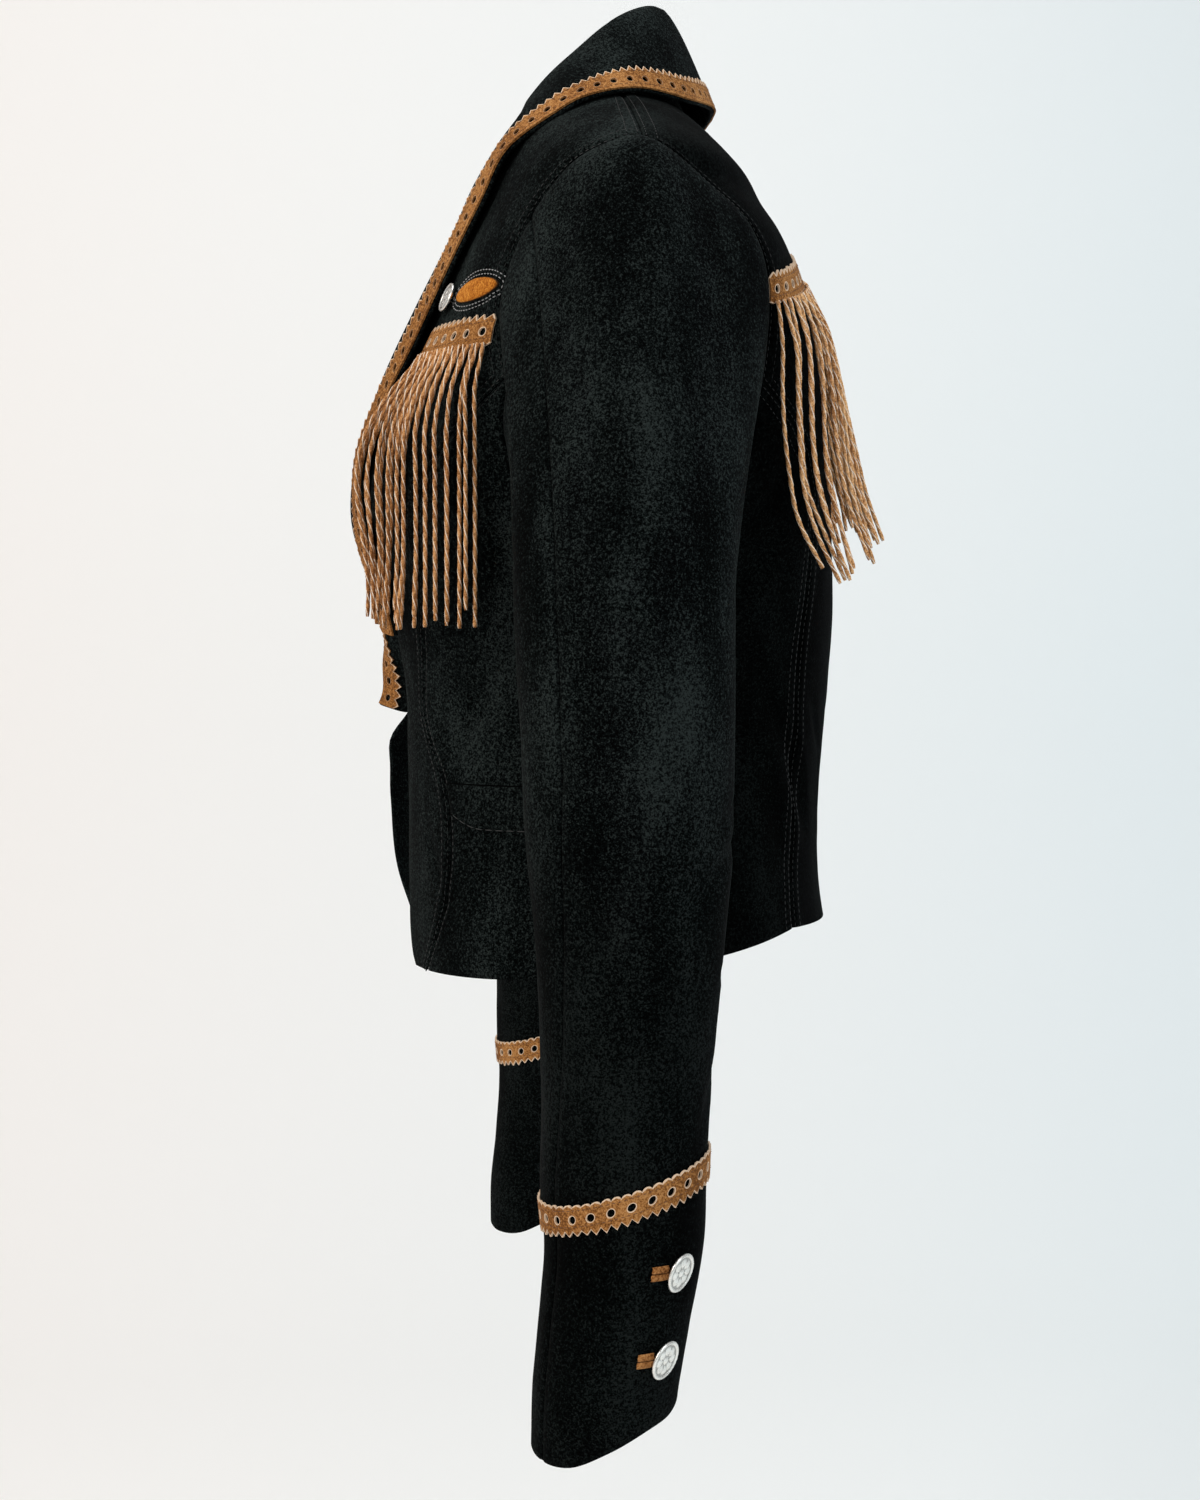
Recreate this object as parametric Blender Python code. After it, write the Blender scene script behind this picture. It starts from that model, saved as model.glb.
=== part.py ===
"""Short suede jacket in a western cut, hanging open and filled out as it is worn.

Metres, +Z up. The front faces -Y and the wearer's left is +X. The origin lies on the middle
plane between the two side-neck points, where the wearer's shoulders carry the garment.
"""
import bmesh
import bpy
from bisect import bisect_right
from math import acos, asin, cos, pi, radians, sin
from mathutils import Matrix, Vector
from mathutils.bvhtree import BVHTree

COLLECTION = "suede_jacket"

# Walls and the clearances between pieces.
WALL = 0.0020
SEAM_GAP = 0.0004
TRIM_WALL = 0.0011
TRIM_LIFT = 0.0017
COLLAR_TRIM_LIFT = 0.0020
SEARCH = 0.008
LEFT, RIGHT = 1, -1

# Torso: one row for each level section. The round columns are the powers of a superellipse.
SIDE_Y = -0.005
TORSO_COLUMNS = ("height", "half_width", "back", "front", "back_round", "front_round")
TORSO = (
    (-0.4780, 0.1590, 0.1250, 0.1225, 2.20, 2.45),
    (-0.4400, 0.1545, 0.1185, 0.1220, 2.20, 2.50),
    (-0.4000, 0.1475, 0.1165, 0.1220, 2.30, 2.50),
    (-0.3600, 0.1395, 0.1190, 0.1225, 2.40, 2.50),
    (-0.3200, 0.1370, 0.1225, 0.1245, 2.40, 2.50),
    (-0.2700, 0.1445, 0.1235, 0.1345, 2.50, 2.60),
    (-0.2250, 0.1570, 0.1205, 0.1465, 2.70, 2.75),
    (-0.1900, 0.1670, 0.1165, 0.1405, 2.90, 2.75),
    (-0.1550, 0.1755, 0.1102, 0.1245, 3.00, 2.70),
    (-0.1200, 0.1830, 0.1008, 0.1070, 3.00, 2.60),
    (-0.0900, 0.1880, 0.0925, 0.0920, 2.60, 2.70),
    (-0.0665, 0.1900, 0.0835, 0.0800, 2.00, 2.60),
    (-0.0520, 0.1900, 0.0760, 0.0770, 1.90, 2.20),
    (-0.0300, 0.1495, 0.0610, 0.0700, 1.90, 2.10),
    (-0.0150, 0.1140, 0.0510, 0.0550, 1.90, 2.00),
    (0.0000, 0.0700, 0.0400, 0.0360, 2.00, 2.00),
)

# Soft folds of the torso: centre angle and height, tilt, half length, half width and depth.
FOLD_RADIUS = 0.135
FOLD_COLUMNS = ("angle", "height", "tilt", "half_length", "half_width", "depth")
FOLDS = (
    (42.0, -0.372, 62.0, 0.050, 0.013, -0.0035),
    (55.0, -0.335, 55.0, 0.055, 0.012, -0.0030),
    (66.0, -0.265, -55.0, 0.050, 0.014, -0.0040),
    (126.0, -0.330, -48.0, 0.060, 0.013, -0.0030),
    (118.0, -0.300, -62.0, 0.050, 0.014, 0.0020),
)

# Seams as (height, x), from the hem up. Heights above the armhole junction are not used.
BACK_SEAM = ((-0.470, 0.116), (-0.440, 0.112), (-0.400, 0.106), (-0.360, 0.1025), (-0.300, 0.1050),
             (-0.250, 0.1105), (-0.205, 0.1290), (-0.165, 0.1660))
FRONT_SEAM = ((-0.478, 0.0870), (-0.466, 0.0930), (-0.443, 0.1050), (-0.411, 0.1070),
              (-0.393, 0.1060), (-0.368, 0.0950), (-0.356, 0.0880), (-0.340, 0.0785),
              (-0.323, 0.0755), (-0.309, 0.0815), (-0.298, 0.0890), (-0.260, 0.1060),
              (-0.220, 0.1260), (-0.190, 0.1440), (-0.165, 0.1590))
FRONT_EDGE = ((-0.478, 0.0690), (-0.4715, 0.0610), (-0.460, 0.0545), (-0.440, 0.0500),
              (-0.400, 0.0475), (-0.345, 0.0470), (-0.290, 0.0485), (-0.235, 0.0495),
              (-0.185, 0.0510), (-0.140, 0.0530), (-0.098, 0.0550), (-0.070, 0.0580),
              (-0.045, 0.0625), (-0.022, 0.0670), (0.000, 0.0690))
JUNCTION = -0.165
SHOULDER_POINT = -0.0520
BACK_HEM = -0.4565
BACK_NECK = -0.0125
BLADE_LEVEL, YOKE_LEVEL = -0.1590, -0.0680
SEAM_HEM = -0.4535
FRONT_HEM = -0.4775
EDGE_CROWDING = 1.08
EDGE_X = 0.0470
HEM_DIP = 0.0055
SEAM_ROWS = 9
ARMHOLE_ROWS = 5
SIDE_COLUMNS = 6
FRONT_COLUMNS = 6
BACK_COLUMNS = 5

# The armhole from the shoulder point down its back and down its front, as (y, z).
ARMHOLE_BACK = ((-0.002, -0.0520), (0.0150, -0.0618), (0.0310, -0.0725), (0.0505, -0.0875),
                (0.0613, -0.1130), (0.0585, -0.1650))
ARMHOLE_FRONT = ((-0.002, -0.0520), (-0.0200, -0.0545), (-0.0400, -0.0640), (-0.0590, -0.0880),
                 (-0.0728, -0.1230), (-0.0700, -0.1650))
UNDERARM = -0.2220

# Sleeve: level sections below the armhole, with centre, half width (X) and half depth (Y).
SLEEVE_COLUMNS = ("height", "centre_x", "centre_y", "half_x", "half_y")
SLEEVE = (
    (-0.2785, 0.2100, -0.0159, 0.0490, 0.0541),
    (-0.3281, 0.2090, -0.0146, 0.0480, 0.0529),
    (-0.4020, 0.2100, -0.0134, 0.0450, 0.0505),
    (-0.4480, 0.2110, -0.0134, 0.0440, 0.0466),
    (-0.4860, 0.2110, -0.0142, 0.0430, 0.0435),
    (-0.5260, 0.2100, -0.0154, 0.0425, 0.0418),
    (-0.5660, 0.2090, -0.0164, 0.0420, 0.0409),
    (-0.5970, 0.2080, -0.0160, 0.0410, 0.0396),
    (-0.6370, 0.2070, -0.0209, 0.0385, 0.0376),
    (-0.6740, 0.2060, -0.0255, 0.0360, 0.0362),
    (-0.7100, 0.2050, -0.0268, 0.0340, 0.0350),
)
SLEEVE_ANGLES = (0, 22, 44, 65, 84, 102, 126, 152, 180, 208, 234, 258, 276, 297, 318, 339, 360)
SLEEVE_ROWS = (-0.2785, -0.3281, -0.3650, -0.4020, -0.4400, -0.4780, -0.5180, -0.5550, -0.5900)
CUFF_ROWS = (0.33, 0.67, 1.0)
CAP_ROWS = 5
CAP_START = -0.5900
# How the cap leaves the armhole and arrives below it, under the arm and at the shoulder.
CAP_SLOPE = 0.35
CAP_LEAVE = (0.045, 0.075)
CAP_ARRIVE = (0.040, 0.150)
# How far the sleeve's front seam turns outward in degrees, by height, and over what angle.
SEAM_DRIFT = ((-0.700, 0.0), (-0.585, 0.0), (-0.520, 6.0), (-0.460, 12.0), (-0.400, 17.0),
              (-0.330, 20.0), (-0.2785, 20.0))
DRIFT_REACH = 58.0
REAR_SEAM_COLUMN = 5
FRONT_SEAM_COLUMN = 13
# Cuff edge against the angle from the rear (90) over the outside (0) to the front (-90).
CUFF_EDGE = ((-90, -0.6970), (-60, -0.6995), (-30, -0.6978), (0, -0.6893), (30, -0.6808),
             (60, -0.6762), (90, -0.6700))

# Collar and lapel in one, from the centre back to the break point. Each row holds the neck seam,
# the roll line and the outer edge.
COLLAR_COLUMNS = ("seam_x", "seam_y", "seam_z", "roll_x", "roll_y", "roll_z",
                  "edge_x", "edge_y", "edge_z")
COLLAR = (
    (0.0000, 0.0450, -0.0110, 0.0000, 0.0260, 0.0575, 0.0000, 0.0560, 0.0005),
    (0.0290, 0.0405, -0.0090, 0.0280, 0.0215, 0.0560, 0.0400, 0.0515, -0.0020),
    (0.0560, 0.0265, -0.0040, 0.0500, 0.0095, 0.0495, 0.0770, 0.0330, -0.0068),
    (0.0670, -0.0010, 0.0015, 0.0620, -0.0065, 0.0385, 0.1005, 0.0035, -0.0072),
    (0.0665, -0.0220, -0.0060, 0.0640, -0.0235, 0.0222, 0.1120, -0.0235, -0.0145),
    (0.0655, -0.0400, -0.0160, 0.0640, -0.0417, 0.0045, 0.1160, -0.0415, -0.0250),
)
# Below the neck the roll line and the outer edge lie on the torso, as (x, height) pairs. The
# right lapel swings open toward its lower end by the degrees given; the left one ends higher.
LAPEL_COLUMNS = ("roll_x", "roll_z", "edge_x", "edge_z", "swing")
LAPEL = (
    (0.0625, -0.0194, 0.1140, -0.0461, 0),
    (0.0600, -0.0468, 0.1080, -0.0702, 0),
    (0.0570, -0.0708, 0.1010, -0.1030, 0),
    (0.0550, -0.0982, 0.0950, -0.1420, 0),
    (0.0530, -0.1400, 0.0880, -0.1800, 0),
    (0.0510, -0.1850, 0.0800, -0.2120, 0),
    (0.0497, -0.2280, 0.0725, -0.2440, 0),
    (0.0488, -0.2640, 0.0684, -0.2730, 4),
    (0.0485, -0.2910, 0.0664, -0.2950, 18),
    (0.0480, -0.3160, 0.0654, -0.3180, 50),
    (0.0475, -0.3420, 0.0643, -0.3380, 62),
)
LAPEL_END = {LEFT: 14, RIGHT: 16}
LAPEL_LIFT = 0.0048
LAPEL_GAP = 0.0013
ROLL_LIFT = 0.0045
STAND_ROUND = 0.0045
STAND_SWELL, STAND_BULGE, STAND_SHARE = 0.08, 0.0050, 0.40
# The lapel's leaf rounds toward its outer edge, from this station on and over this many.
LEAF_SWELL, SWELL_FROM, SWELL_SPAN = 0.120, 4.0, 3.0
NARROW_LEAF = 0.020
EDGE_INSET = 0.0003
SHARE_STEP, SHARE_COUNT, FALL_START = 0.02, 26, 0.45
COLLAR_STEPS = (0.0, 0.17, 0.32, 0.38, 0.44, 0.54, 0.76, 1.0)
COLLAR_STATIONS = 24

# How far the right front's edge lies forward of the left one's, by height, and over what width.
FLARE = ((-0.4775, -0.0090), (-0.441, 0.0060), (-0.404, 0.0095), (-0.368, 0.0085),
         (-0.332, -0.0060), (-0.296, -0.0030), (-0.262, 0.0000))
FLARE_REACH = 0.030

# Perforated tan strip.
STRIP_WIDTH = 0.0160
HOLE_PITCH = 0.0100
HOLE_RADIUS = 0.0025
HOLE_SIDES = 5
FRONT_STRIP_X = (0.1010, 0.1570)
FRONT_STRIP_HEIGHT = -0.1420
BACK_STRIP_X = 0.1660
BACK_STRIP_PEAK = -0.0850
BACK_STRIP_FALL = 0.0358
BACK_STRIP_POWER = 1.6
CUFF_STRIP_HEIGHT = -0.5670
CUFF_STRIP_SLANT = 0.0130

# Fringe of twisted strands.
STRAND_LENGTH = 0.145
STRAND_WIDTH = 0.0030
STRAND_HALF = 0.45
STRAND_CORNERS = ((-1.0, -0.6), (0.0, 1.0), (1.0, -0.6))
FRONT_ROOT_HALF = 0.38
UNEVEN = 0.05
# How fast sway, length and sweep vary from strand to strand, in radians for each strand.
SWAY_BEAT, SWAY_STEP, SWEEP_BEAT = 0.9, 2.0, 1.1
FRONT_BEAT, BACK_BEAT = 1.7, 1.3
LAYER_RISE = 3.0
SWEEP_SWAY = 0.006
FRONT_SHARES = (0.16, 0.38, 0.68, 1.0)
BACK_SHARES = (0.33, 0.67, 1.0)
FRONT_STRANDS = 17
BACK_STRANDS = 58
BACKING_HEIGHT = 0.0030
ROOT_GAP = 0.0004
ROOT_LIFT = TRIM_LIFT + 0.0022
STRAND_CLEAR = 0.0056
LAYER = 0.0040
SWAY = 0.0020
FRONT_SPREAD = 0.010
SIDE_SPREAD = 0.006
BUST_HEIGHT = -0.2250
BLADE_HEIGHT = -0.2000
BACK_GATHER = 0.12
BACK_SWEEP = 0.016

# Buttons, the oval insets, the pocket welts and the bound buttonholes.
CUFF_BUTTON_RADIUS = 0.0100
CHEST_BUTTON_RADIUS = 0.0080
BUTTON_SIDES = 11
BUTTON_PROFILE = ((0.16, 0.00), (0.18, 0.50), (0.92, 0.53), (1.00, 0.68), (0.90, 0.86), (0.55, 1.00))
BUTTON_HEIGHT = 0.0060
BUTTON_LIFT = 0.0006
CUFF_BUTTONS = ((33.5, -0.6005), (32.5, -0.6438))
CUFF_BUTTON_TURN, CUFF_BUTTON_DROP = 14.0, 0.26
TAB_LENGTH, TAB_WIDTH, TAB_START = 0.0088, 0.0068, 0.0050
CUFF_RADIUS = 0.040
TAB_WALL = 0.0010
TAB_STEPS = 3
TAB_LIFT = 0.0006
OVAL_CENTRE = (0.1350, -0.1190)
OVAL_HALF = (0.0210, 0.0072)
CHEST_BUTTON_AT = (0.1085, -0.1200)
POCKET_TOP, POCKET_BOTTOM = -0.3745, -0.3985
POCKET_BACK_Y = 0.0100
POCKET_MARGIN = 0.020
POCKET_WALL = 0.0014
POCKET_LIFT = 0.0017
POCKET_COLUMNS = 11

MATERIALS = {
    "black_suede": ((0.012, 0.013, 0.013, 1.0), 0.95, 0.0),
    "tan_suede": ((0.36, 0.17, 0.06, 1.0), 0.92, 0.0),
    "brown_suede": ((0.24, 0.085, 0.022, 1.0), 0.92, 0.0),
    "silver": ((0.72, 0.72, 0.71, 1.0), 0.28, 1.0),
}

CARRIERS = {}


def smooth(keys, values, at):
    """Cubic through the values at rising keys, level beyond the ends."""
    if at <= keys[0]:
        return values[0]
    if at >= keys[-1]:
        return values[-1]
    i = bisect_right(keys, at) - 1
    span = keys[i + 1] - keys[i]

    def slope(k):
        low, high = max(k - 1, 0), min(k + 1, len(keys) - 1)
        return (values[high] - values[low]) / (keys[high] - keys[low])

    t = (at - keys[i]) / span
    a, b = slope(i) * span, slope(i + 1) * span
    rise = values[i + 1] - values[i]
    return values[i] + t * (a + t * (3 * rise - 2 * a - b + t * (a + b - 2 * rise)))


def column(rows, columns, name):
    return [row[columns.index(name)] for row in rows]


def pair_curve(pairs, at):
    """Value of a two-column table, smooth between its rows."""
    return smooth([p[0] for p in pairs], [p[1] for p in pairs], at)


TORSO_TABLE = {name: column(TORSO, TORSO_COLUMNS, name) for name in TORSO_COLUMNS}
SLEEVE_TABLE = {name: column(SLEEVE[::-1], SLEEVE_COLUMNS, name) for name in SLEEVE_COLUMNS}


def torso_size(name, height):
    return smooth(TORSO_TABLE["height"], TORSO_TABLE[name], height)


def torso_side(angle, height):
    """Depth from the side line and the superellipse power, for the back or the front half."""
    if angle <= pi / 2:
        return torso_size("back", height) - SIDE_Y, torso_size("back_round", height)
    return -(torso_size("front", height) + SIDE_Y), torso_size("front_round", height)


def torso_skin(angle, height):
    """Point of the left half: angle 0 is the centre back, 180 degrees the centre front."""
    depth, power = torso_side(angle, height)
    x = torso_size("half_width", height) * sin(angle) ** (2 / power)
    y = SIDE_Y + depth * abs(cos(angle)) ** (2 / power)
    return Vector((x, y, height))


def torso_normal(angle, height):
    step = 0.004
    a0, a1 = max(angle - step, 0.001), min(angle + step, pi - 0.001)
    across = torso_skin(a1, height) - torso_skin(a0, height)
    along = torso_skin(angle, height + step) - torso_skin(angle, height - step)
    return along.cross(across).normalized()


def fold_depth(angle, height):
    """Sum of the soft folds, each a rounded trough or ridge along a tilted line."""
    total = 0.0
    for row in FOLDS:
        fold = dict(zip(FOLD_COLUMNS, row))
        arc = (angle - radians(fold["angle"])) * FOLD_RADIUS
        rise = height - fold["height"]
        tilt = radians(fold["tilt"])
        along = arc * cos(tilt) + rise * sin(tilt)
        across = -arc * sin(tilt) + rise * cos(tilt)
        reach = (along / fold["half_length"]) ** 2 + (across / fold["half_width"]) ** 2
        if reach < 1:
            total += fold["depth"] * (1 - reach) ** 2
    return total


def torso(angle, height, out=0.0):
    lift = out + fold_depth(angle, height)
    return torso_skin(angle, height) + torso_normal(angle, height) * lift


def angle_at_x(x, height, front):
    power = torso_size("front_round" if front else "back_round", height)
    ratio = min(abs(x) / torso_size("half_width", height), 1.0)
    angle = asin(ratio ** (power / 2))
    return pi - angle if front else angle


def angle_at_y(y, height):
    front = y < SIDE_Y
    angle = 0.75 * pi if front else 0.25 * pi
    depth, power = torso_side(angle, height)
    ratio = min(abs((y - SIDE_Y) / depth), 1.0)
    angle = acos(ratio ** (power / 2))
    return pi - angle if front else angle


def lerp(a, b, t):
    return a + (b - a) * t


def seam_heights(hem):
    return [lerp(hem, JUNCTION, i / SEAM_ROWS) for i in range(SEAM_ROWS + 1)]


def back_seam_points():
    """Back seam between hem and armhole, as (angle, height)."""
    spots = [(angle_at_x(pair_curve(BACK_SEAM, h), h, False), h) for h in seam_heights(SEAM_HEM)]
    return spots[:-1] + [armhole_points(ARMHOLE_BACK)[-1]]


def front_seam_points():
    spots = [(angle_at_x(pair_curve(FRONT_SEAM, h), h, True), h) for h in seam_heights(FRONT_HEM)]
    return spots[:-1] + [armhole_points(ARMHOLE_FRONT)[-1]]


def armhole_points(table):
    """One side of the armhole from the shoulder point to the junction, as (angle, height)."""
    spots = []
    for i in range(ARMHOLE_ROWS + 1):
        y, z = table[i]
        spots.append((pi / 2 if i == 0 else angle_at_y(y, z), z))
    return spots


def underarm_points():
    """Lower armhole from the back junction to the front one, as (angle, height)."""
    back, front = armhole_points(ARMHOLE_BACK)[-1], armhole_points(ARMHOLE_FRONT)[-1]
    spots = []
    for i in range(SIDE_COLUMNS + 1):
        t = i / SIDE_COLUMNS
        sweep = cos(pi * t)
        angle = lerp(back[0], front[0], (1 - sweep) / 2)
        height = JUNCTION - (JUNCTION - UNDERARM) * sin(pi * t) ** 0.8
        spots.append((angle, height))
    return spots


def grid_between(starts, ends, columns):
    """Rows of (angle, height) between two matching lists of them."""
    rows = []
    for (a0, h0), (a1, h1) in zip(starts, ends):
        rows.append([(lerp(a0, a1, j / columns), lerp(h0, h1, j / columns))
                     for j in range(columns + 1)])
    return rows


def placed(spots, out):
    return [[torso(angle, height, out) for angle, height in row] for row in spots]


def pull_edges(grid, first_row=0.0, last_row=0.0, first_column=0.0, last_column=0.0):
    """Draw the chosen edges of a grid in by a clearance, along the surface."""
    def drawn(edge, inner, gap):
        step = inner - edge
        return edge + step.normalized() * gap

    new = [[p.copy() for p in row] for row in grid]
    for row in new:
        row[0] = drawn(row[0], row[1], first_column)
        row[-1] = drawn(row[-1], row[-2], last_column)
    for j in range(len(new[0])):
        new[0][j] = drawn(new[0][j], new[1][j], first_row)
        new[-1][j] = drawn(new[-1][j], new[-2][j], last_row)
    return new


def mirrored(point, side):
    return Vector((point.x * side, point.y, point.z))


def new_object(name, mesh, material):
    piece = bpy.data.objects.new(name, mesh)
    mesh.materials.append(MADE[material])
    HOME.objects.link(piece)
    return piece


def thicken(name, under, over, faces, side, material):
    """Closed wall between two matching lists of points of the left half."""
    bm = bmesh.new()
    low = [bm.verts.new(mirrored(p, side)) for p in under]
    high = [bm.verts.new(mirrored(p, side)) for p in over]
    rim = set()
    for face in faces:
        bm.faces.new([high[i] for i in face])
        bm.faces.new([low[i] for i in face[::-1]])
        for a, b in zip(face, face[1:] + face[:1]):
            if (b, a) in rim:
                rim.remove((b, a))
            else:
                rim.add((a, b))
    for a, b in sorted(rim):
        bm.faces.new((high[a], low[a], high[b]))
        bm.faces.new((low[a], low[b], high[b]))
    bmesh.ops.recalc_face_normals(bm, faces=bm.faces)
    mesh = bpy.data.meshes.new(name)
    bm.to_mesh(mesh)
    bm.free()
    CARRIERS[name] = BVHTree.FromPolygons(over, faces)
    return new_object(name, mesh, material)


def grid_faces(rows, columns):
    faces = []
    for i in range(rows - 1):
        for j in range(columns - 1):
            a = i * columns + j
            faces += [(a, a + 1, a + columns + 1), (a, a + columns + 1, a + columns)]
    return faces


def sheet(name, inner, outer, side, material="black_suede"):
    """Closed wall between two matching grids of points of the left half."""
    faces = grid_faces(len(outer), len(outer[0]))
    return thicken(name, [p for row in inner for p in row], [p for row in outer for p in row],
                   faces, side, material)


def grid_normals(grid, closed):
    """Unit normals of a grid, rows crossed with columns; a closed grid runs round to itself."""
    last_row, last = len(grid) - 1, len(grid[0]) - 1
    normals = []
    for i, row in enumerate(grid):
        below, above = grid[max(i - 1, 0)], grid[min(i + 1, last_row)]
        line = []
        for j in range(last + 1):
            if closed:
                across = row[(j + 1) if j < last else 1] - row[(j - 1) if j else last - 1]
            else:
                across = row[min(j + 1, last)] - row[max(j - 1, 0)]
            line.append((above[j] - below[j]).cross(across).normalized())
        normals.append(line)
    return normals


def moved(grid, normals, distance):
    return [[p + n * distance for p, n in zip(row, line)] for row, line in zip(grid, normals)]


def side_name(stem, side):
    return stem + ("_left" if side == LEFT else "_right")


def settle(point, normal, lift, carriers):
    """Move a point along the normal until it lies the lift above the carriers' outer faces."""
    rises = [0.0]
    for name in carriers:
        hit = CARRIERS[name].ray_cast(point + normal * SEARCH, -normal, 2 * SEARCH)[0]
        if hit is not None:
            rises.append((hit - point).dot(normal))
    return point + normal * (max(rises[1:] or rises) + lift)


def shoulder_line():
    """Shoulder seam from the shoulder point to the side neck, as (angle, height)."""
    return [(pi / 2, lerp(SHOULDER_POINT, 0.0, i / FRONT_COLUMNS)) for i in range(FRONT_COLUMNS + 1)]


def make_back():
    """Whole back, from side seam to side seam and up to the shoulder seams and the neck."""
    outer = back_seam_points() + armhole_points(ARMHOLE_BACK)[-2::-1] + shoulder_line()[1:]
    centre = []
    turn = SEAM_ROWS + ARMHOLE_ROWS
    for i in range(len(outer)):
        if i <= SEAM_ROWS:
            height = lerp(BACK_HEM, BLADE_LEVEL, i / SEAM_ROWS)
        elif i <= turn:
            height = lerp(BLADE_LEVEL, YOKE_LEVEL, (i - SEAM_ROWS) / ARMHOLE_ROWS)
        else:
            height = lerp(YOKE_LEVEL, BACK_NECK, (i - turn) / FRONT_COLUMNS)
        centre.append((0.0, height))
    spots = grid_between(centre, outer, BACK_COLUMNS)
    walls = []
    for out in (-WALL, 0.0):
        half = pull_edges(placed(spots, out), last_column=SEAM_GAP / 2)
        walls.append([[mirrored(p, RIGHT) for p in row[:0:-1]] + row for row in half])
    return sheet("back", *walls, LEFT)


def make_side(side):
    """Side panel between the back seam and the front seam, cut out below the arm."""
    back, front, top = back_seam_points(), front_seam_points(), underarm_points()
    spots = []
    for i in range(SEAM_ROWS + 1):
        row = []
        for j in range(SIDE_COLUMNS + 1):
            across, up = j / SIDE_COLUMNS, i / SEAM_ROWS
            turn = top[j][0] - lerp(back[-1][0], front[-1][0], across)
            angle = lerp(back[i][0], front[i][0], across) + turn * up ** 3
            level = lerp(back[i][1], front[i][1], across)
            cut = (top[j][1] - JUNCTION) * up ** 1.5
            dip = HEM_DIP * sin(pi * across) * (1 - up)
            row.append((angle, level + cut - dip))
        spots.append(row)
    walls = [pull_edges(placed(spots, out), first_column=SEAM_GAP / 2, last_column=SEAM_GAP / 2)
             for out in (-WALL, 0.0)]
    return sheet(side_name("side_panel", side), *walls, side)


def front_edge_angle(height):
    return angle_at_x(pair_curve(FRONT_EDGE, height), height, True)


def flare(point, height):
    """How far the right front swings forward near its edge."""
    near = min(1.0, max(0.0, 1 - (point.x - EDGE_X) / FLARE_REACH))
    return pair_curve(FLARE, height) * near ** 1.5


def front_grid(side, out):
    outer = front_seam_points() + armhole_points(ARMHOLE_FRONT)[-2::-1]
    shoulder = shoulder_line()
    last = len(outer) - 1
    grid = []
    for i, (angle, height) in enumerate(outer):
        up = i / last
        edge_height = FRONT_HEM * (1 - up) ** EDGE_CROWDING
        row = []
        for j in range(FRONT_COLUMNS + 1):
            t = j / FRONT_COLUMNS
            h = lerp(height, edge_height, t)
            if i == last:
                angle_here, h = shoulder[j]
            else:
                angle_here = lerp(angle, front_edge_angle(h), t)
            spot = torso(angle_here, h, out)
            if side == RIGHT:
                spot.y -= flare(torso(angle_here, h), h)
            row.append(spot)
        grid.append(row)
    return grid


def make_front(side):
    """Front from the side seam and armhole to the open edge, the roll line and the shoulder."""
    walls = [pull_edges(front_grid(side, out), last_row=SEAM_GAP / 2, first_column=SEAM_GAP / 2)
             for out in (-WALL, 0.0)]
    return sheet(side_name("front", side), *walls, side)


def armhole_ring():
    """The whole left armhole, from the shoulder point down the back, as torso points."""
    back = armhole_points(ARMHOLE_BACK)
    front = armhole_points(ARMHOLE_FRONT)
    spots = back + underarm_points()[1:-1] + front[::-1]
    return [torso(*spot) for spot in spots]


def sleeve_skin(angle, height, out=0.0):
    """Point of the left sleeve below the cap; angle 0 faces outward, 90 degrees the back."""
    size = {name: smooth(SLEEVE_TABLE["height"], SLEEVE_TABLE[name], height)
            for name in SLEEVE_COLUMNS[1:]}
    outward = Vector((cos(angle) / size["half_x"], sin(angle) / size["half_y"], 0)).normalized()
    centre = Vector((size["centre_x"], size["centre_y"], height))
    return centre + Vector((size["half_x"] * cos(angle), size["half_y"] * sin(angle), 0)) + outward * out


def drifted(degrees, height):
    """Angle round the sleeve, in radians, with the drift of its front seam."""
    reach = max(0.0, 1 - abs(degrees - SLEEVE_ANGLES[FRONT_SEAM_COLUMN]) / DRIFT_REACH)
    return radians(degrees + pair_curve(SEAM_DRIFT, height) * reach)


def cuff_height(angle_degrees):
    folded = (angle_degrees + 180) % 360 - 180
    if folded > 90:
        folded = 180 - folded
    if folded < -90:
        folded = -180 - folded
    return pair_curve(CUFF_EDGE, folded)


def sleeve_grid():
    """Rows from the armhole to the cuff; the columns run round from the shoulder point."""
    ring = armhole_ring()
    grid = []
    below = [sleeve_skin(drifted(a, SLEEVE_ROWS[0]), SLEEVE_ROWS[0]) for a in SLEEVE_ANGLES]
    for i in range(CAP_ROWS):
        t = i / CAP_ROWS
        row = []
        for k, start in enumerate(ring):
            end = below[k]
            angle = radians(SLEEVE_ANGLES[k])
            lift = 0.5 + 0.5 * cos(angle)
            leave = Vector((1.0, 0.0, lerp(-CAP_SLOPE, CAP_SLOPE, lift))) * lerp(*CAP_LEAVE, lift)
            arrive = Vector((0.0, 0.0, -1.0)) * lerp(*CAP_ARRIVE, lift)
            h00, h10 = 2 * t ** 3 - 3 * t ** 2 + 1, t ** 3 - 2 * t ** 2 + t
            h01, h11 = -2 * t ** 3 + 3 * t ** 2, t ** 3 - t ** 2
            spot = start * h00 + leave * h10 + end * h01 + arrive * h11
            if i == 0:
                spot = start + Vector((SEAM_GAP * 2, 0, 0))
            row.append(spot)
        grid.append(row)
    for height in SLEEVE_ROWS:
        grid.append([sleeve_skin(drifted(a, height), height) for a in SLEEVE_ANGLES])
    for part in CUFF_ROWS:
        grid.append([sleeve_skin(radians(a), lerp(CAP_START, cuff_height(a), part))
                     for a in SLEEVE_ANGLES])
    return grid


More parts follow.
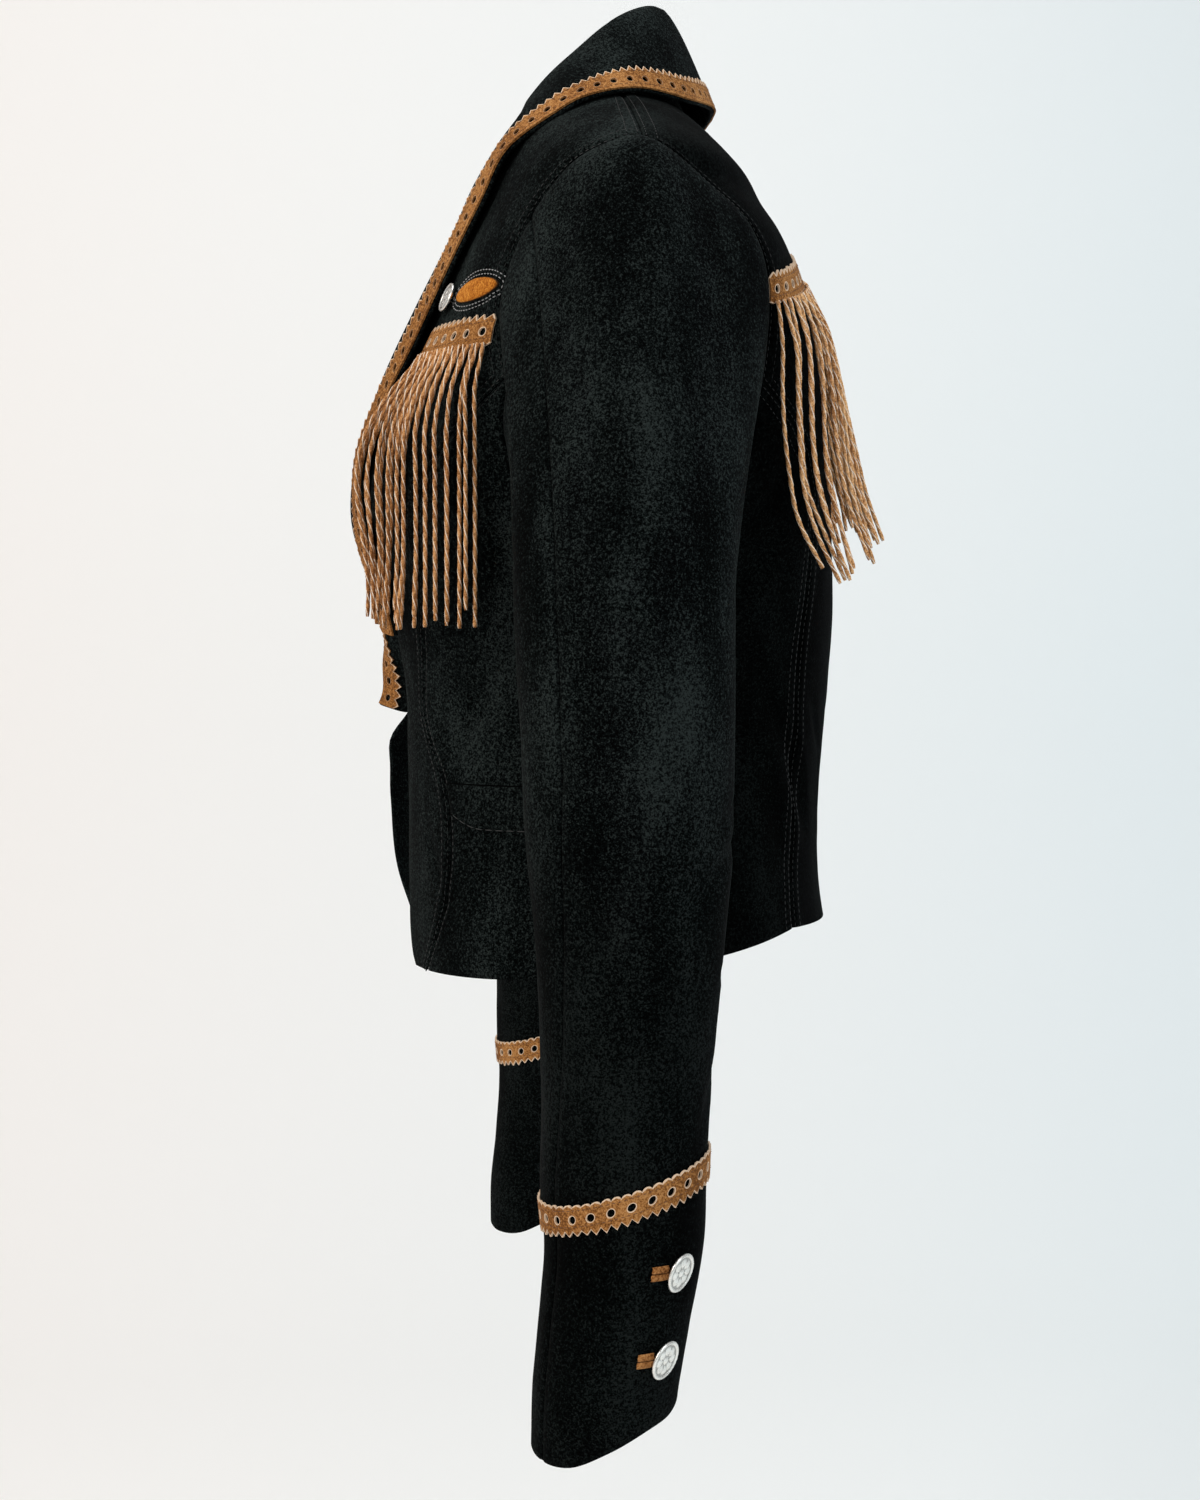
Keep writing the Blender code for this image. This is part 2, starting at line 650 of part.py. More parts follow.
def make_sleeves(side):
    """Top sleeve over the outside and under sleeve against the body."""
    outer = sleeve_grid()
    inner = moved(outer, grid_normals(outer, True), -WALL)
    gap = SEAM_GAP / 2
    top, under = [], []
    for grid in (inner, outer):
        turned = [row[FRONT_SEAM_COLUMN:-1] + row[:REAR_SEAM_COLUMN + 1] for row in grid]
        top.append(pull_edges(turned, first_column=gap, last_column=gap))
        beneath = [row[REAR_SEAM_COLUMN:FRONT_SEAM_COLUMN + 1] for row in grid]
        under.append(pull_edges(beneath, first_column=gap, last_column=gap))
    sheet(side_name("top_sleeve", side), *top, side)
    sheet(side_name("under_sleeve", side), *under, side)


def on_torso(x, height, front, out=0.0):
    return torso(angle_at_x(x, height, front), height, out)


def lie_on_torso(x, height, front, lift, carriers):
    angle = angle_at_x(x, height, front)
    return settle(torso(angle, height), torso_normal(angle, height), lift, carriers)


def lie_on_sleeve(angle, height, lift, side):
    skin = sleeve_skin(angle, height)
    normal = (sleeve_skin(angle, height, 1.0) - skin).normalized()
    return settle(skin, normal, lift, [side_name("top_sleeve", side), side_name("under_sleeve", side)])


def collar_rows():
    """Station rows of the collar table followed by those of the lapel, as plain dictionaries."""
    rows = [dict(zip(COLLAR_COLUMNS, row)) for row in COLLAR]
    for values in LAPEL:
        lapel = dict(zip(LAPEL_COLUMNS, values))
        height = lapel["roll_z"]
        edge_x = pair_curve(FRONT_EDGE, height)
        seam = on_torso(edge_x, height, True, -WALL / 2) - Vector((WALL / 2 + LAPEL_GAP, 0, 0))
        roll = on_torso(lapel["roll_x"], height, True, ROLL_LIFT)
        edge = on_torso(lapel["edge_x"], lapel["edge_z"], True, LAPEL_LIFT)
        rows.append({"seam": seam, "roll": roll, "edge": edge, "swing": radians(lapel["swing"])})
    for row in rows[:len(COLLAR)]:
        row["swing"] = 0.0
        for part in ("seam", "roll", "edge"):
            row[part] = Vector([row["%s_%s" % (part, axis)] for axis in "xyz"])
    return rows


STATIONS = collar_rows()
STATION_KEYS = list(range(len(STATIONS)))


def collar_line(part, at):
    return Vector([smooth(STATION_KEYS, [row[part][axis] for row in STATIONS], at)
                   for axis in range(3)])


def collar_section(at, side):
    """Points across the collar from the neck seam over the roll to the outer edge."""
    seam, roll, edge = (collar_line(part, at) for part in ("seam", "roll", "edge"))
    swing = 0.0
    if side == RIGHT:
        forward = flare(roll, roll.z) * Vector((0, -1, 0))
        seam, roll, edge = seam + forward, roll + forward, edge + forward
        swing = smooth(STATION_KEYS, [row["swing"] for row in STATIONS], at)
        edge = roll + Matrix.Rotation(-swing, 3, "Z") @ (edge - roll)
    onward = Vector((1, 0, 0))
    if at > 0:
        ahead, behind = min(at + 0.05, STATION_KEYS[-1]), max(at - 0.05, 0)
        onward = collar_line("roll", ahead) - collar_line("roll", behind)
    fall = edge - roll
    outward = onward.cross(fall).normalized()
    inward = -(roll - seam).cross(onward).normalized()
    height = (roll - seam).length
    bulge = min(STAND_SWELL * height, STAND_BULGE)
    crown = min(STAND_SHARE * height, STAND_ROUND)
    turned = crown * cos(swing)
    onset = min(1.0, max(0.0, (at - SWELL_FROM) / SWELL_SPAN))
    swell = LEAF_SWELL * max(0.0, fall.length - NARROW_LEAF) * onset
    points = (seam,
              lerp(seam, roll, 0.5) + inward * bulge,
              lerp(seam, roll, 1 - crown / height) + inward * crown * 0.3,
              roll,
              lerp(roll, edge, crown / fall.length) + outward * turned * 0.8,
              lerp(roll, edge, 0.28) + outward * turned,
              lerp(roll, edge, 0.65) + outward * (0.6 * turned + swell),
              edge)
    return points


def collar_point(at, across, side):
    """Middle of the collar's wall at a station and a share of the way across."""
    points = collar_section(at, side)
    return Vector([smooth(COLLAR_STEPS, [p[axis] for p in points], across) for axis in range(3)])


def make_collar(side):
    """Half of the shawl collar: stand, fall and lapel in one, up to the centre back seam."""
    grid = []
    for i in range(COLLAR_STATIONS + 1):
        at = LAPEL_END[side] * i / COLLAR_STATIONS
        grid.append([collar_point(at, step, side) for step in COLLAR_STEPS])
    grid = pull_edges(grid, first_row=SEAM_GAP / 2)
    normals = grid_normals(grid, False)
    normals[0] = [Vector((0, n.y, n.z)).normalized() for n in normals[0]]
    return sheet(side_name("collar", side), moved(grid, normals, -WALL / 2),
                 moved(grid, normals, WALL / 2), side)


def perforated(name, place, length, side):
    """Strip with a row of holes; place(along, across, rise) gives its points, left half."""
    cells = max(2, round(length / HOLE_PITCH))
    pitch = length / cells
    spots = []
    faces = []

    def spot(along, across):
        spots.append((along, across))
        return len(spots) - 1

    edges = [(spot(i * pitch, 0.0), spot(i * pitch, STRIP_WIDTH)) for i in range(cells + 1)]
    for i in range(cells):
        (c0, c3), (c1, c2) = edges[i], edges[i + 1]
        centre = (i + 0.5) * pitch
        hole = [spot(centre + HOLE_RADIUS * cos(2 * pi * k / HOLE_SIDES),
                     STRIP_WIDTH / 2 + HOLE_RADIUS * sin(2 * pi * k / HOLE_SIDES))
                for k in range(HOLE_SIDES)]
        faces += [(c1, c2, hole[0]), (c2, hole[1], hole[0]), (c2, c3, hole[1]),
                  (c3, hole[2], hole[1]), (c3, c0, hole[2]), (c0, hole[3], hole[2]),
                  (c0, c1, hole[3]), (c1, hole[4], hole[3]), (c1, hole[0], hole[4])]
    under = [place(along, across, 0.0) for along, across in spots]
    over = [place(along, across, TRIM_WALL) for along, across in spots]
    return thicken(name, under, over, faces, side, "tan_suede")


def measured(points):
    """Running length along a list of points."""
    run = [0.0]
    for a, b in zip(points, points[1:]):
        run.append(run[-1] + (b - a).length)
    return run


def make_collar_trim(side):
    """Strip along the outer edge of the collar and the lapel."""
    fine = 160
    keys = [LAPEL_END[side] * i / fine for i in range(fine + 1)]
    run = measured([collar_point(k, 1.0, side) for k in keys])
    length = run[-1] - SEAM_GAP

    def place(along, across, rise):
        at = smooth(run, keys, along + SEAM_GAP / 2)
        shares = [1.0 - SHARE_STEP * k for k in range(SHARE_COUNT)]
        back = measured([collar_point(at, share, side) for share in shares])
        inset = lerp(EDGE_INSET, STRIP_WIDTH, across / STRIP_WIDTH)
        share = smooth(back, shares, inset)
        here = collar_point(at, share, side)
        step = 2 * SHARE_STEP
        along_edge = (collar_point(min(at + step, keys[-1]), share, side)
                      - collar_point(max(at - step, 0.0), share, side))
        toward_edge = (collar_point(at, min(share + step, 1.0), side)
                       - collar_point(at, max(share - step, FALL_START), side))
        normal = along_edge.cross(toward_edge).normalized()
        return settle(here, normal, COLLAR_TRIM_LIFT + rise, [side_name("collar", side)])

    return perforated(side_name("collar_trim", side), place, length, side)


def make_front_strip(side):
    """Strip across the chest, from near the lapel to the armhole."""
    start = on_torso(FRONT_STRIP_X[0], FRONT_STRIP_HEIGHT, True)
    end = on_torso(FRONT_STRIP_X[1], FRONT_STRIP_HEIGHT, True)
    length = (end - start).length

    def place(along, across, rise):
        x = lerp(FRONT_STRIP_X[0], FRONT_STRIP_X[1], along / length)
        height = FRONT_STRIP_HEIGHT + across - STRIP_WIDTH / 2
        return lie_on_torso(x, height, True, TRIM_LIFT + rise, [side_name("front", side)])

    return perforated(side_name("front_strip", side), place, length, side)


def back_strip_height(x):
    return BACK_STRIP_PEAK - BACK_STRIP_FALL * (abs(x) / BACK_STRIP_X) ** BACK_STRIP_POWER


def back_arc():
    """Points of the back strip's middle line and the running length, from left to right."""
    fine = 80
    xs = [lerp(BACK_STRIP_X, -BACK_STRIP_X, i / fine) for i in range(fine + 1)]
    points = []
    for x in xs:
        p = on_torso(x, back_strip_height(x), False)
        points.append(Vector((p.x if x >= 0 else -p.x, p.y, p.z)))
    return [-x for x in xs], measured(points)


def on_back(x, height, out):
    """Point the given lift above the back, on either half."""
    p = lie_on_torso(abs(x), height, False, out, ["back"])
    return Vector((p.x if x >= 0 else -p.x, p.y, p.z))


def make_back_strip():
    """Arched strip across the shoulder blades."""
    xs, run = back_arc()

    def place(along, across, rise):
        x = -smooth(run, xs, along)
        height = back_strip_height(x) + across - STRIP_WIDTH / 2
        return on_back(x, height, TRIM_LIFT + rise)

    return perforated("back_strip", place, run[-1], LEFT)


def make_cuff_trim(side):
    """Slanted loop round the forearm in two lengths, joined at the sleeve's seams."""
    rear = radians(SLEEVE_ANGLES[REAR_SEAM_COLUMN])
    front = radians(SLEEVE_ANGLES[FRONT_SEAM_COLUMN])
    for stem, first, last in (("cuff_trim_outer", front - 2 * pi, rear), ("cuff_trim_inner", rear, front)):
        fine = 60
        angles = [lerp(first, last, i / fine) for i in range(fine + 1)]
        run = measured([sleeve_skin(a, CUFF_STRIP_HEIGHT + CUFF_STRIP_SLANT * sin(a)) for a in angles])

        def place(along, across, rise):
            angle = smooth(run, angles, along + SEAM_GAP / 2)
            height = CUFF_STRIP_HEIGHT + CUFF_STRIP_SLANT * sin(angle) + across - STRIP_WIDTH / 2
            return lie_on_sleeve(angle, height, TRIM_LIFT + rise, side)

        perforated(side_name(stem, side), place, run[-1] - SEAM_GAP, side)


def fringe(name, roots, paths, side):
    """Strands with their roots fused into one narrow backing strip.

    A root is the strand's four corners on the backing's lower edge: near inner, near outer,
    far outer and far inner. A path is the strand's middle line below it.
    """
    bm = bmesh.new()
    rise = Vector((0, 0, BACKING_HEIGHT))

    def vert(point):
        return bm.verts.new(mirrored(point, side))

    lower = [[vert(p) for p in root] for root in roots]
    upper = [[vert(p + rise) for p in root] for root in roots]
    for low, high in zip(lower, upper):
        bm.faces.new((low[1], high[1], high[2], low[2]))
        bm.faces.new((high[0], high[3], high[2], high[1]))
        bm.faces.new((low[3], high[3], high[0], low[0]))
    bm.faces.new((lower[0][0], upper[0][0], upper[0][1], lower[0][1]))
    bm.faces.new((lower[-1][2], upper[-1][2], upper[-1][3], lower[-1][3]))
    for k in range(len(roots) - 1):
        low, high, next_low, next_high = lower[k], upper[k], lower[k + 1], upper[k + 1]
        bm.faces.new((low[2], high[2], next_high[1], next_low[1]))
        bm.faces.new((high[2], high[3], next_high[0], next_high[1]))
        bm.faces.new((high[3], low[3], next_low[0], next_high[0]))
        bm.faces.new((low[3], low[2], next_low[1], next_low[0]))
    for root, low, path in zip(roots, lower, paths):
        across = (root[3] - root[0]).normalized() * STRAND_WIDTH * STRAND_HALF
        outward = (root[1] - root[0]).normalized() * STRAND_WIDTH / 2
        ring = None
        for centre in path:
            new = [vert(centre + across * a + outward * b) for a, b in STRAND_CORNERS]
            if ring is None:
                bm.faces.new((low[0], low[1], new[1], new[0]))
                bm.faces.new((low[1], low[2], new[1]))
                bm.faces.new((low[2], low[3], new[2], new[1]))
                bm.faces.new((low[3], low[0], new[0], new[2]))
            else:
                for j in range(3):
                    bm.faces.new((ring[j], ring[(j + 1) % 3], new[(j + 1) % 3], new[j]))
            ring = new
        bm.faces.new(ring)
    bmesh.ops.recalc_face_normals(bm, faces=bm.faces)
    mesh = bpy.data.meshes.new(name)
    bm.to_mesh(mesh)
    bm.free()
    return new_object(name, mesh, "tan_suede")


def disc_button(name, centre, axis, radius, side):
    """Turned button with a short shank, its face along the axis."""
    bm = bmesh.new()
    rings = []
    for share, rise in BUTTON_PROFILE:
        rings.append([bm.verts.new((radius * share * cos(2 * pi * k / BUTTON_SIDES),
                                    radius * share * sin(2 * pi * k / BUTTON_SIDES),
                                    BUTTON_HEIGHT * rise)) for k in range(BUTTON_SIDES)])
    for low, high in zip(rings, rings[1:]):
        for k in range(BUTTON_SIDES):
            n = (k + 1) % BUTTON_SIDES
            bm.faces.new((low[k], low[n], high[n], high[k]))
    bm.faces.new(rings[0][::-1])
    bm.faces.new(rings[-1])
    mesh = bpy.data.meshes.new(name)
    bm.to_mesh(mesh)
    bm.free()
    piece = new_object(name, mesh, "silver")
    turn = mirrored(axis, side).to_track_quat("Z", "Y").to_matrix().to_4x4()
    piece.matrix_world = Matrix.Translation(mirrored(centre, side)) @ turn
    return piece


def make_oval(side):
    """Oval inset on the chest."""
    cx, cz = OVAL_CENTRE
    sides = 18

    def spot(u, w, rise):
        height = cz + w
        return lie_on_torso(cx + u, height, True, TRIM_LIFT + rise, [side_name("front", side)])

    flat = [(OVAL_HALF[0] * cos(2 * pi * k / sides), OVAL_HALF[1] * sin(2 * pi * k / sides))
            for k in range(sides)]
    flat += [(OVAL_HALF[0] * share, 0.0) for share in (-0.6, -0.2, 0.2, 0.6)]
    near = [sides + min(3, max(0, round((cos(2 * pi * (k + 0.5) / sides) + 0.6) / 0.4)))
            for k in range(sides)]
    faces = []
    for k in range(sides):
        n = (k + 1) % sides
        faces.append((k, n, near[k]))
        if near[k] != near[n]:
            faces.append((n, near[n], near[k]))
    under = [spot(u, w, 0.0) for u, w in flat]
    over = [spot(u, w, TRIM_WALL) for u, w in flat]
    return thicken(side_name("oval_inset", side), under, over, faces, side, "brown_suede")


def make_pocket(side):
    """Welt of the pocket: a band on the side panel that starts at the front seam."""
    carriers = [side_name("side_panel", side), side_name("front", side)]
    walls = []
    for rise in (0.0, POCKET_WALL):
        grid = []
        for i in range(3):
            height = lerp(POCKET_BOTTOM, POCKET_TOP, i / 2)
            start = angle_at_x(pair_curve(FRONT_SEAM, height), height, True) - POCKET_MARGIN
            end = angle_at_y(POCKET_BACK_Y, height)
            row = []
            for j in range(POCKET_COLUMNS + 1):
                angle = lerp(end, start, j / POCKET_COLUMNS)
                row.append(settle(torso(angle, height), torso_normal(angle, height),
                                  POCKET_LIFT + rise, carriers))
            grid.append(row)
        walls.append(grid)
    return sheet(side_name("pocket_welt", side), *walls, side)


def front_root(x, height, carriers):
    """Four corners of a strand's root at the chest strip's lower edge."""
    half = STRAND_WIDTH * FRONT_ROOT_HALF
    near, far = x - half, x + half
    return [lie_on_torso(px, height, True, lift, carriers)
            for px, lift in ((near, TRIM_LIFT), (near, ROOT_LIFT), (far, ROOT_LIFT), (far, TRIM_LIFT))]


def make_front_fringe(side):
    """Strands below the chest strip; every other one hangs in a second layer outside."""
    height = FRONT_STRIP_HEIGHT - STRIP_WIDTH / 2 - ROOT_GAP - BACKING_HEIGHT
    carriers = [side_name("front", side), side_name("side_panel", side)]
    roots, paths = [], []
    for k in range(FRONT_STRANDS):
        t = (k + 0.5) / FRONT_STRANDS
        x = lerp(FRONT_STRIP_X[0], FRONT_STRIP_X[1], t)
        roots.append(front_root(x, height, carriers))
        lean = SWAY * sin(SWAY_BEAT * k + SWAY_STEP * (k % 2)) - lerp(FRONT_SPREAD, SIDE_SPREAD, t)
        length = STRAND_LENGTH * (1 - UNEVEN * abs(sin(FRONT_BEAT * k)))
        path = []
        for s in FRONT_SHARES:
            z = height - length * s
            lift = STRAND_CLEAR + LAYER * (k % 2) * min(1.0, LAYER_RISE * s)
            skin = lie_on_torso(x + lean * s, max(z, BUST_HEIGHT), True, lift, carriers)
            path.append(Vector((skin.x, skin.y, z)))
        paths.append(path)
    return fringe(side_name("front_fringe", side), roots, paths, side)


def make_back_fringe():
    """Strands below the arched back strip, swept a little away from the cloth."""
    xs, run = back_arc()
    roots, paths = [], []
    half = STRAND_WIDTH * STRAND_HALF
    for k in range(BACK_STRANDS):
        along = lerp(STRAND_WIDTH, run[-1] - STRAND_WIDTH, k / (BACK_STRANDS - 1))
        root = []
        for step, lift in ((-half, TRIM_LIFT), (-half, ROOT_LIFT), (half, ROOT_LIFT), (half, TRIM_LIFT)):
            x = -smooth(run, xs, along + step)
            low = back_strip_height(x) - STRIP_WIDTH / 2 - ROOT_GAP - BACKING_HEIGHT
            root.append(on_back(x, low, lift))
        roots.append(root)
        x = -smooth(run, xs, along)
        top = back_strip_height(x) - STRIP_WIDTH / 2 - ROOT_GAP - BACKING_HEIGHT
        length = STRAND_LENGTH * (1 - UNEVEN * abs(sin(BACK_BEAT * k)))
        path = []
        for s in BACK_SHARES:
            z = top - length * s
            px = x * (1 - BACK_GATHER * s)
            skin = on_back(px, max(z, BLADE_HEIGHT), STRAND_CLEAR)
            away = (BACK_SWEEP + SWEEP_SWAY * sin(SWEEP_BEAT * k)) * s ** 3
            path.append(Vector((skin.x, skin.y + away, z)))
        paths.append(path)
    return fringe("back_fringe", roots, paths, LEFT)


def make_buttons(side):
    """Chest button, two cuff buttons and their bound buttonholes."""
    x, height = CHEST_BUTTON_AT
    angle = angle_at_x(x, height, True)
    base = lie_on_torso(x, height, True, BUTTON_LIFT, [side_name("front", side)])
    disc_button(side_name("chest_button", side), base, torso_normal(angle, height),
                CHEST_BUTTON_RADIUS, side)
    for number, (degrees, height) in enumerate(CUFF_BUTTONS, start=1):
        angle = radians(degrees)
        base = lie_on_sleeve(angle, height, BUTTON_LIFT, side)
        axis = sleeve_skin(angle, height, 1.0) - sleeve_skin(angle, height)
        axis = Matrix.Rotation(radians(CUFF_BUTTON_TURN), 3, "Z") @ axis
        axis.z -= CUFF_BUTTON_DROP
        disc_button(side_name("cuff_button_%d" % number, side), base, axis, CUFF_BUTTON_RADIUS, side)
        end = angle - TAB_START / CUFF_RADIUS
        start = end - TAB_LENGTH / CUFF_RADIUS
        walls = []
        for rise in (0.0, TAB_WALL):
            grid = []
            for i in range(2):
                z = height + lerp(-TAB_WIDTH / 2, TAB_WIDTH / 2, i)
                grid.append([lie_on_sleeve(lerp(start, end, j / TAB_STEPS), z, TAB_LIFT + rise, side)
                             for j in range(TAB_STEPS + 1)])
            walls.append(grid)
        sheet(side_name("buttonhole_%d" % number, side), *walls, side, "brown_suede")


def make_material(name, colour, roughness, metallic):
    material = bpy.data.materials.new(name)
    material.use_nodes = True
    shader = material.node_tree.nodes["Principled BSDF"]
    shader.inputs["Base Color"].default_value = colour
    shader.inputs["Roughness"].default_value = roughness
    shader.inputs["Metallic"].default_value = metallic
    material.diffuse_color = colour
    return material


for old in list(bpy.data.objects):
    bpy.data.objects.remove(old, do_unlink=True)
HOME = bpy.data.collections.new(COLLECTION)
bpy.context.scene.collection.children.link(HOME)
MADE = {name: make_material(name, *look) for name, look in MATERIALS.items()}

make_back()
make_back_strip()
make_back_fringe()
for half in (LEFT, RIGHT):
    make_side(half)
    make_front(half)
    make_sleeves(half)
    make_collar(half)
    make_collar_trim(half)
    make_front_strip(half)
    make_front_fringe(half)
    make_cuff_trim(half)
    make_oval(half)
    make_pocket(half)
    make_buttons(half)
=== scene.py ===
"""Looks of the suede jacket: cloth shells, pinked trims, twisted fringe, buttons and stitching.

Metres, +Z up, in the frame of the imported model. The front faces -Y, the wearer's left is +X.
"""
import random
from bisect import bisect_right
from math import acos, asin, cos, exp, pi, radians, sin

import bpy
from mathutils import Matrix, Vector, noise
from mathutils.bvhtree import BVHTree


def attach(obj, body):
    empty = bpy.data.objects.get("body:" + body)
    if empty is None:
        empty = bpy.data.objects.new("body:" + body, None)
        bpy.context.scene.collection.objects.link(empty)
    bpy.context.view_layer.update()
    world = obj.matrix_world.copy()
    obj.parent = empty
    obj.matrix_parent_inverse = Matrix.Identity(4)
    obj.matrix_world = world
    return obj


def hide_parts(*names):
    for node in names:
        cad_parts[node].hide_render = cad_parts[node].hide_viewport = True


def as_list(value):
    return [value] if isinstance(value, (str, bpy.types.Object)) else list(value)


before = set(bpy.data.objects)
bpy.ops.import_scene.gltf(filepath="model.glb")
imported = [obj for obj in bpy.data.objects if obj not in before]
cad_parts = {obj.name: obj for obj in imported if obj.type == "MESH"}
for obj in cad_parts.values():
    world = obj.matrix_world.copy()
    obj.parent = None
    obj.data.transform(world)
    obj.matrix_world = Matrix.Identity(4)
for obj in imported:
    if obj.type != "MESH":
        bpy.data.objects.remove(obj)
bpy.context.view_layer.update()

# Walls and the clearances between pieces.
WALL = 0.002
SEAM_GAP = 0.0004
TRIM_WALL = 0.0011
SEARCH = 0.008
LEFT, RIGHT = 1, -1

# Torso: one row for each level section. The round columns are the powers of a superellipse.
SIDE_Y = -0.005
TORSO_COLUMNS = ("height", "half_width", "back", "front", "back_round", "front_round")
TORSO = (
    (-0.478, 0.159, 0.125, 0.1225, 2.2, 2.45),
    (-0.44, 0.1545, 0.1185, 0.122, 2.2, 2.5),
    (-0.4, 0.1475, 0.1165, 0.122, 2.3, 2.5),
    (-0.36, 0.1395, 0.119, 0.1225, 2.4, 2.5),
    (-0.32, 0.137, 0.1225, 0.1245, 2.4, 2.5),
    (-0.27, 0.1445, 0.1235, 0.1345, 2.5, 2.6),
    (-0.225, 0.157, 0.1205, 0.1465, 2.7, 2.75),
    (-0.19, 0.167, 0.1165, 0.1405, 2.9, 2.75),
    (-0.155, 0.1755, 0.1102, 0.1245, 3.0, 2.7),
    (-0.12, 0.183, 0.1008, 0.107, 3.0, 2.6),
    (-0.09, 0.188, 0.0925, 0.092, 2.6, 2.7),
    (-0.0665, 0.19, 0.0835, 0.08, 2.0, 2.6),
    (-0.052, 0.19, 0.076, 0.077, 1.9, 2.2),
    (-0.03, 0.1495, 0.061, 0.07, 1.9, 2.1),
    (-0.015, 0.114, 0.051, 0.055, 1.9, 2.0),
    (0.0, 0.07, 0.04, 0.036, 2.0, 2.0),
)

# Soft folds of the torso: centre angle and height, tilt, half length, half width and depth.
FOLD_RADIUS = 0.135
FOLDS = (
    (42.0, -0.372, 62.0, 0.05, 0.013, -0.0035),
    (55.0, -0.335, 55.0, 0.055, 0.012, -0.003),
    (66.0, -0.265, -55.0, 0.05, 0.014, -0.004),
    (126.0, -0.33, -48.0, 0.06, 0.013, -0.003),
    (118.0, -0.3, -62.0, 0.05, 0.014, 0.002),
)

# Seams as (height, x), from the hem up. Heights above the armhole junction are not used.
BACK_SEAM = ((-0.47, 0.116), (-0.44, 0.112), (-0.4, 0.106), (-0.36, 0.1025), (-0.3, 0.105),
             (-0.25, 0.1105), (-0.205, 0.129), (-0.165, 0.166))
FRONT_SEAM = ((-0.478, 0.087), (-0.466, 0.093), (-0.443, 0.105), (-0.411, 0.107),
              (-0.393, 0.106), (-0.368, 0.095), (-0.356, 0.088), (-0.34, 0.0785),
              (-0.323, 0.0755), (-0.309, 0.0815), (-0.298, 0.089), (-0.26, 0.106),
              (-0.22, 0.126), (-0.19, 0.144), (-0.165, 0.159))
FRONT_EDGE = ((-0.478, 0.069), (-0.4715, 0.061), (-0.46, 0.0545), (-0.44, 0.05),
              (-0.4, 0.0475), (-0.345, 0.047), (-0.29, 0.0485), (-0.235, 0.0495),
              (-0.185, 0.051), (-0.14, 0.053), (-0.098, 0.055), (-0.07, 0.058),
              (-0.045, 0.0625), (-0.022, 0.067), (0.0, 0.069))
JUNCTION = -0.165
SHOULDER_POINT = -0.052
BACK_HEM = -0.4565
BACK_NECK = -0.0125
BLADE_LEVEL, YOKE_LEVEL = -0.159, -0.068
SEAM_HEM = -0.4535
FRONT_HEM = -0.4775
EDGE_CROWDING = 1.08
EDGE_X = 0.047
HEM_DIP = 0.0055
SEAM_ROWS = 9
ARMHOLE_ROWS = 5
SIDE_COLUMNS = 6
FRONT_COLUMNS = 6

# The armhole from the shoulder point down its back and down its front, as (y, z).
ARMHOLE_BACK = ((-0.002, -0.052), (0.015, -0.0618), (0.031, -0.0725), (0.0505, -0.0875),
                (0.0613, -0.113), (0.0585, -0.165))
ARMHOLE_FRONT = ((-0.002, -0.052), (-0.02, -0.0545), (-0.04, -0.064), (-0.059, -0.088),
                 (-0.0728, -0.123), (-0.07, -0.165))
UNDERARM = -0.222

# Sleeve: level sections below the armhole, with centre, half width (X) and half depth (Y).
SLEEVE_COLUMNS = ("height", "centre_x", "centre_y", "half_x", "half_y")
SLEEVE = (
    (-0.2785, 0.21, -0.0159, 0.049, 0.0541),
    (-0.3281, 0.209, -0.0146, 0.048, 0.0529),
    (-0.402, 0.21, -0.0134, 0.045, 0.0505),
    (-0.448, 0.211, -0.0134, 0.044, 0.0466),
    (-0.486, 0.211, -0.0142, 0.043, 0.0435),
    (-0.526, 0.21, -0.0154, 0.0425, 0.0418),
    (-0.566, 0.209, -0.0164, 0.042, 0.0409),
    (-0.597, 0.208, -0.016, 0.041, 0.0396),
    (-0.637, 0.207, -0.0209, 0.0385, 0.0376),
    (-0.674, 0.206, -0.0255, 0.036, 0.0362),
    (-0.71, 0.205, -0.0268, 0.034, 0.035),
)
SLEEVE_ANGLES = (0, 22, 44, 65, 84, 102, 126, 152, 180, 208, 234, 258, 276, 297, 318, 339, 360)
SLEEVE_TOP = -0.2785
SLEEVE_RADIUS = 0.045
CAP_START = -0.59

# How the cap leaves the armhole and arrives below it, under the arm and at the shoulder.
CAP_SLOPE = 0.35
CAP_LEAVE = (0.045, 0.075)
CAP_ARRIVE = (0.04, 0.15)

# How far the sleeve's front seam turns outward in degrees, by height, and over what angle.
SEAM_DRIFT = ((-0.7, 0.0), (-0.585, 0.0), (-0.52, 6.0), (-0.46, 12.0), (-0.4, 17.0),
              (-0.33, 20.0), (-0.2785, 20.0))
DRIFT_REACH = 58.0
REAR_SEAM_COLUMN = 5
FRONT_SEAM_COLUMN = 13

# Cuff edge against the angle from the rear (90) over the outside (0) to the front (-90).
CUFF_EDGE = ((-90, -0.697), (-60, -0.6995), (-30, -0.6978), (0, -0.6893), (30, -0.6808),
             (60, -0.6762), (90, -0.67))

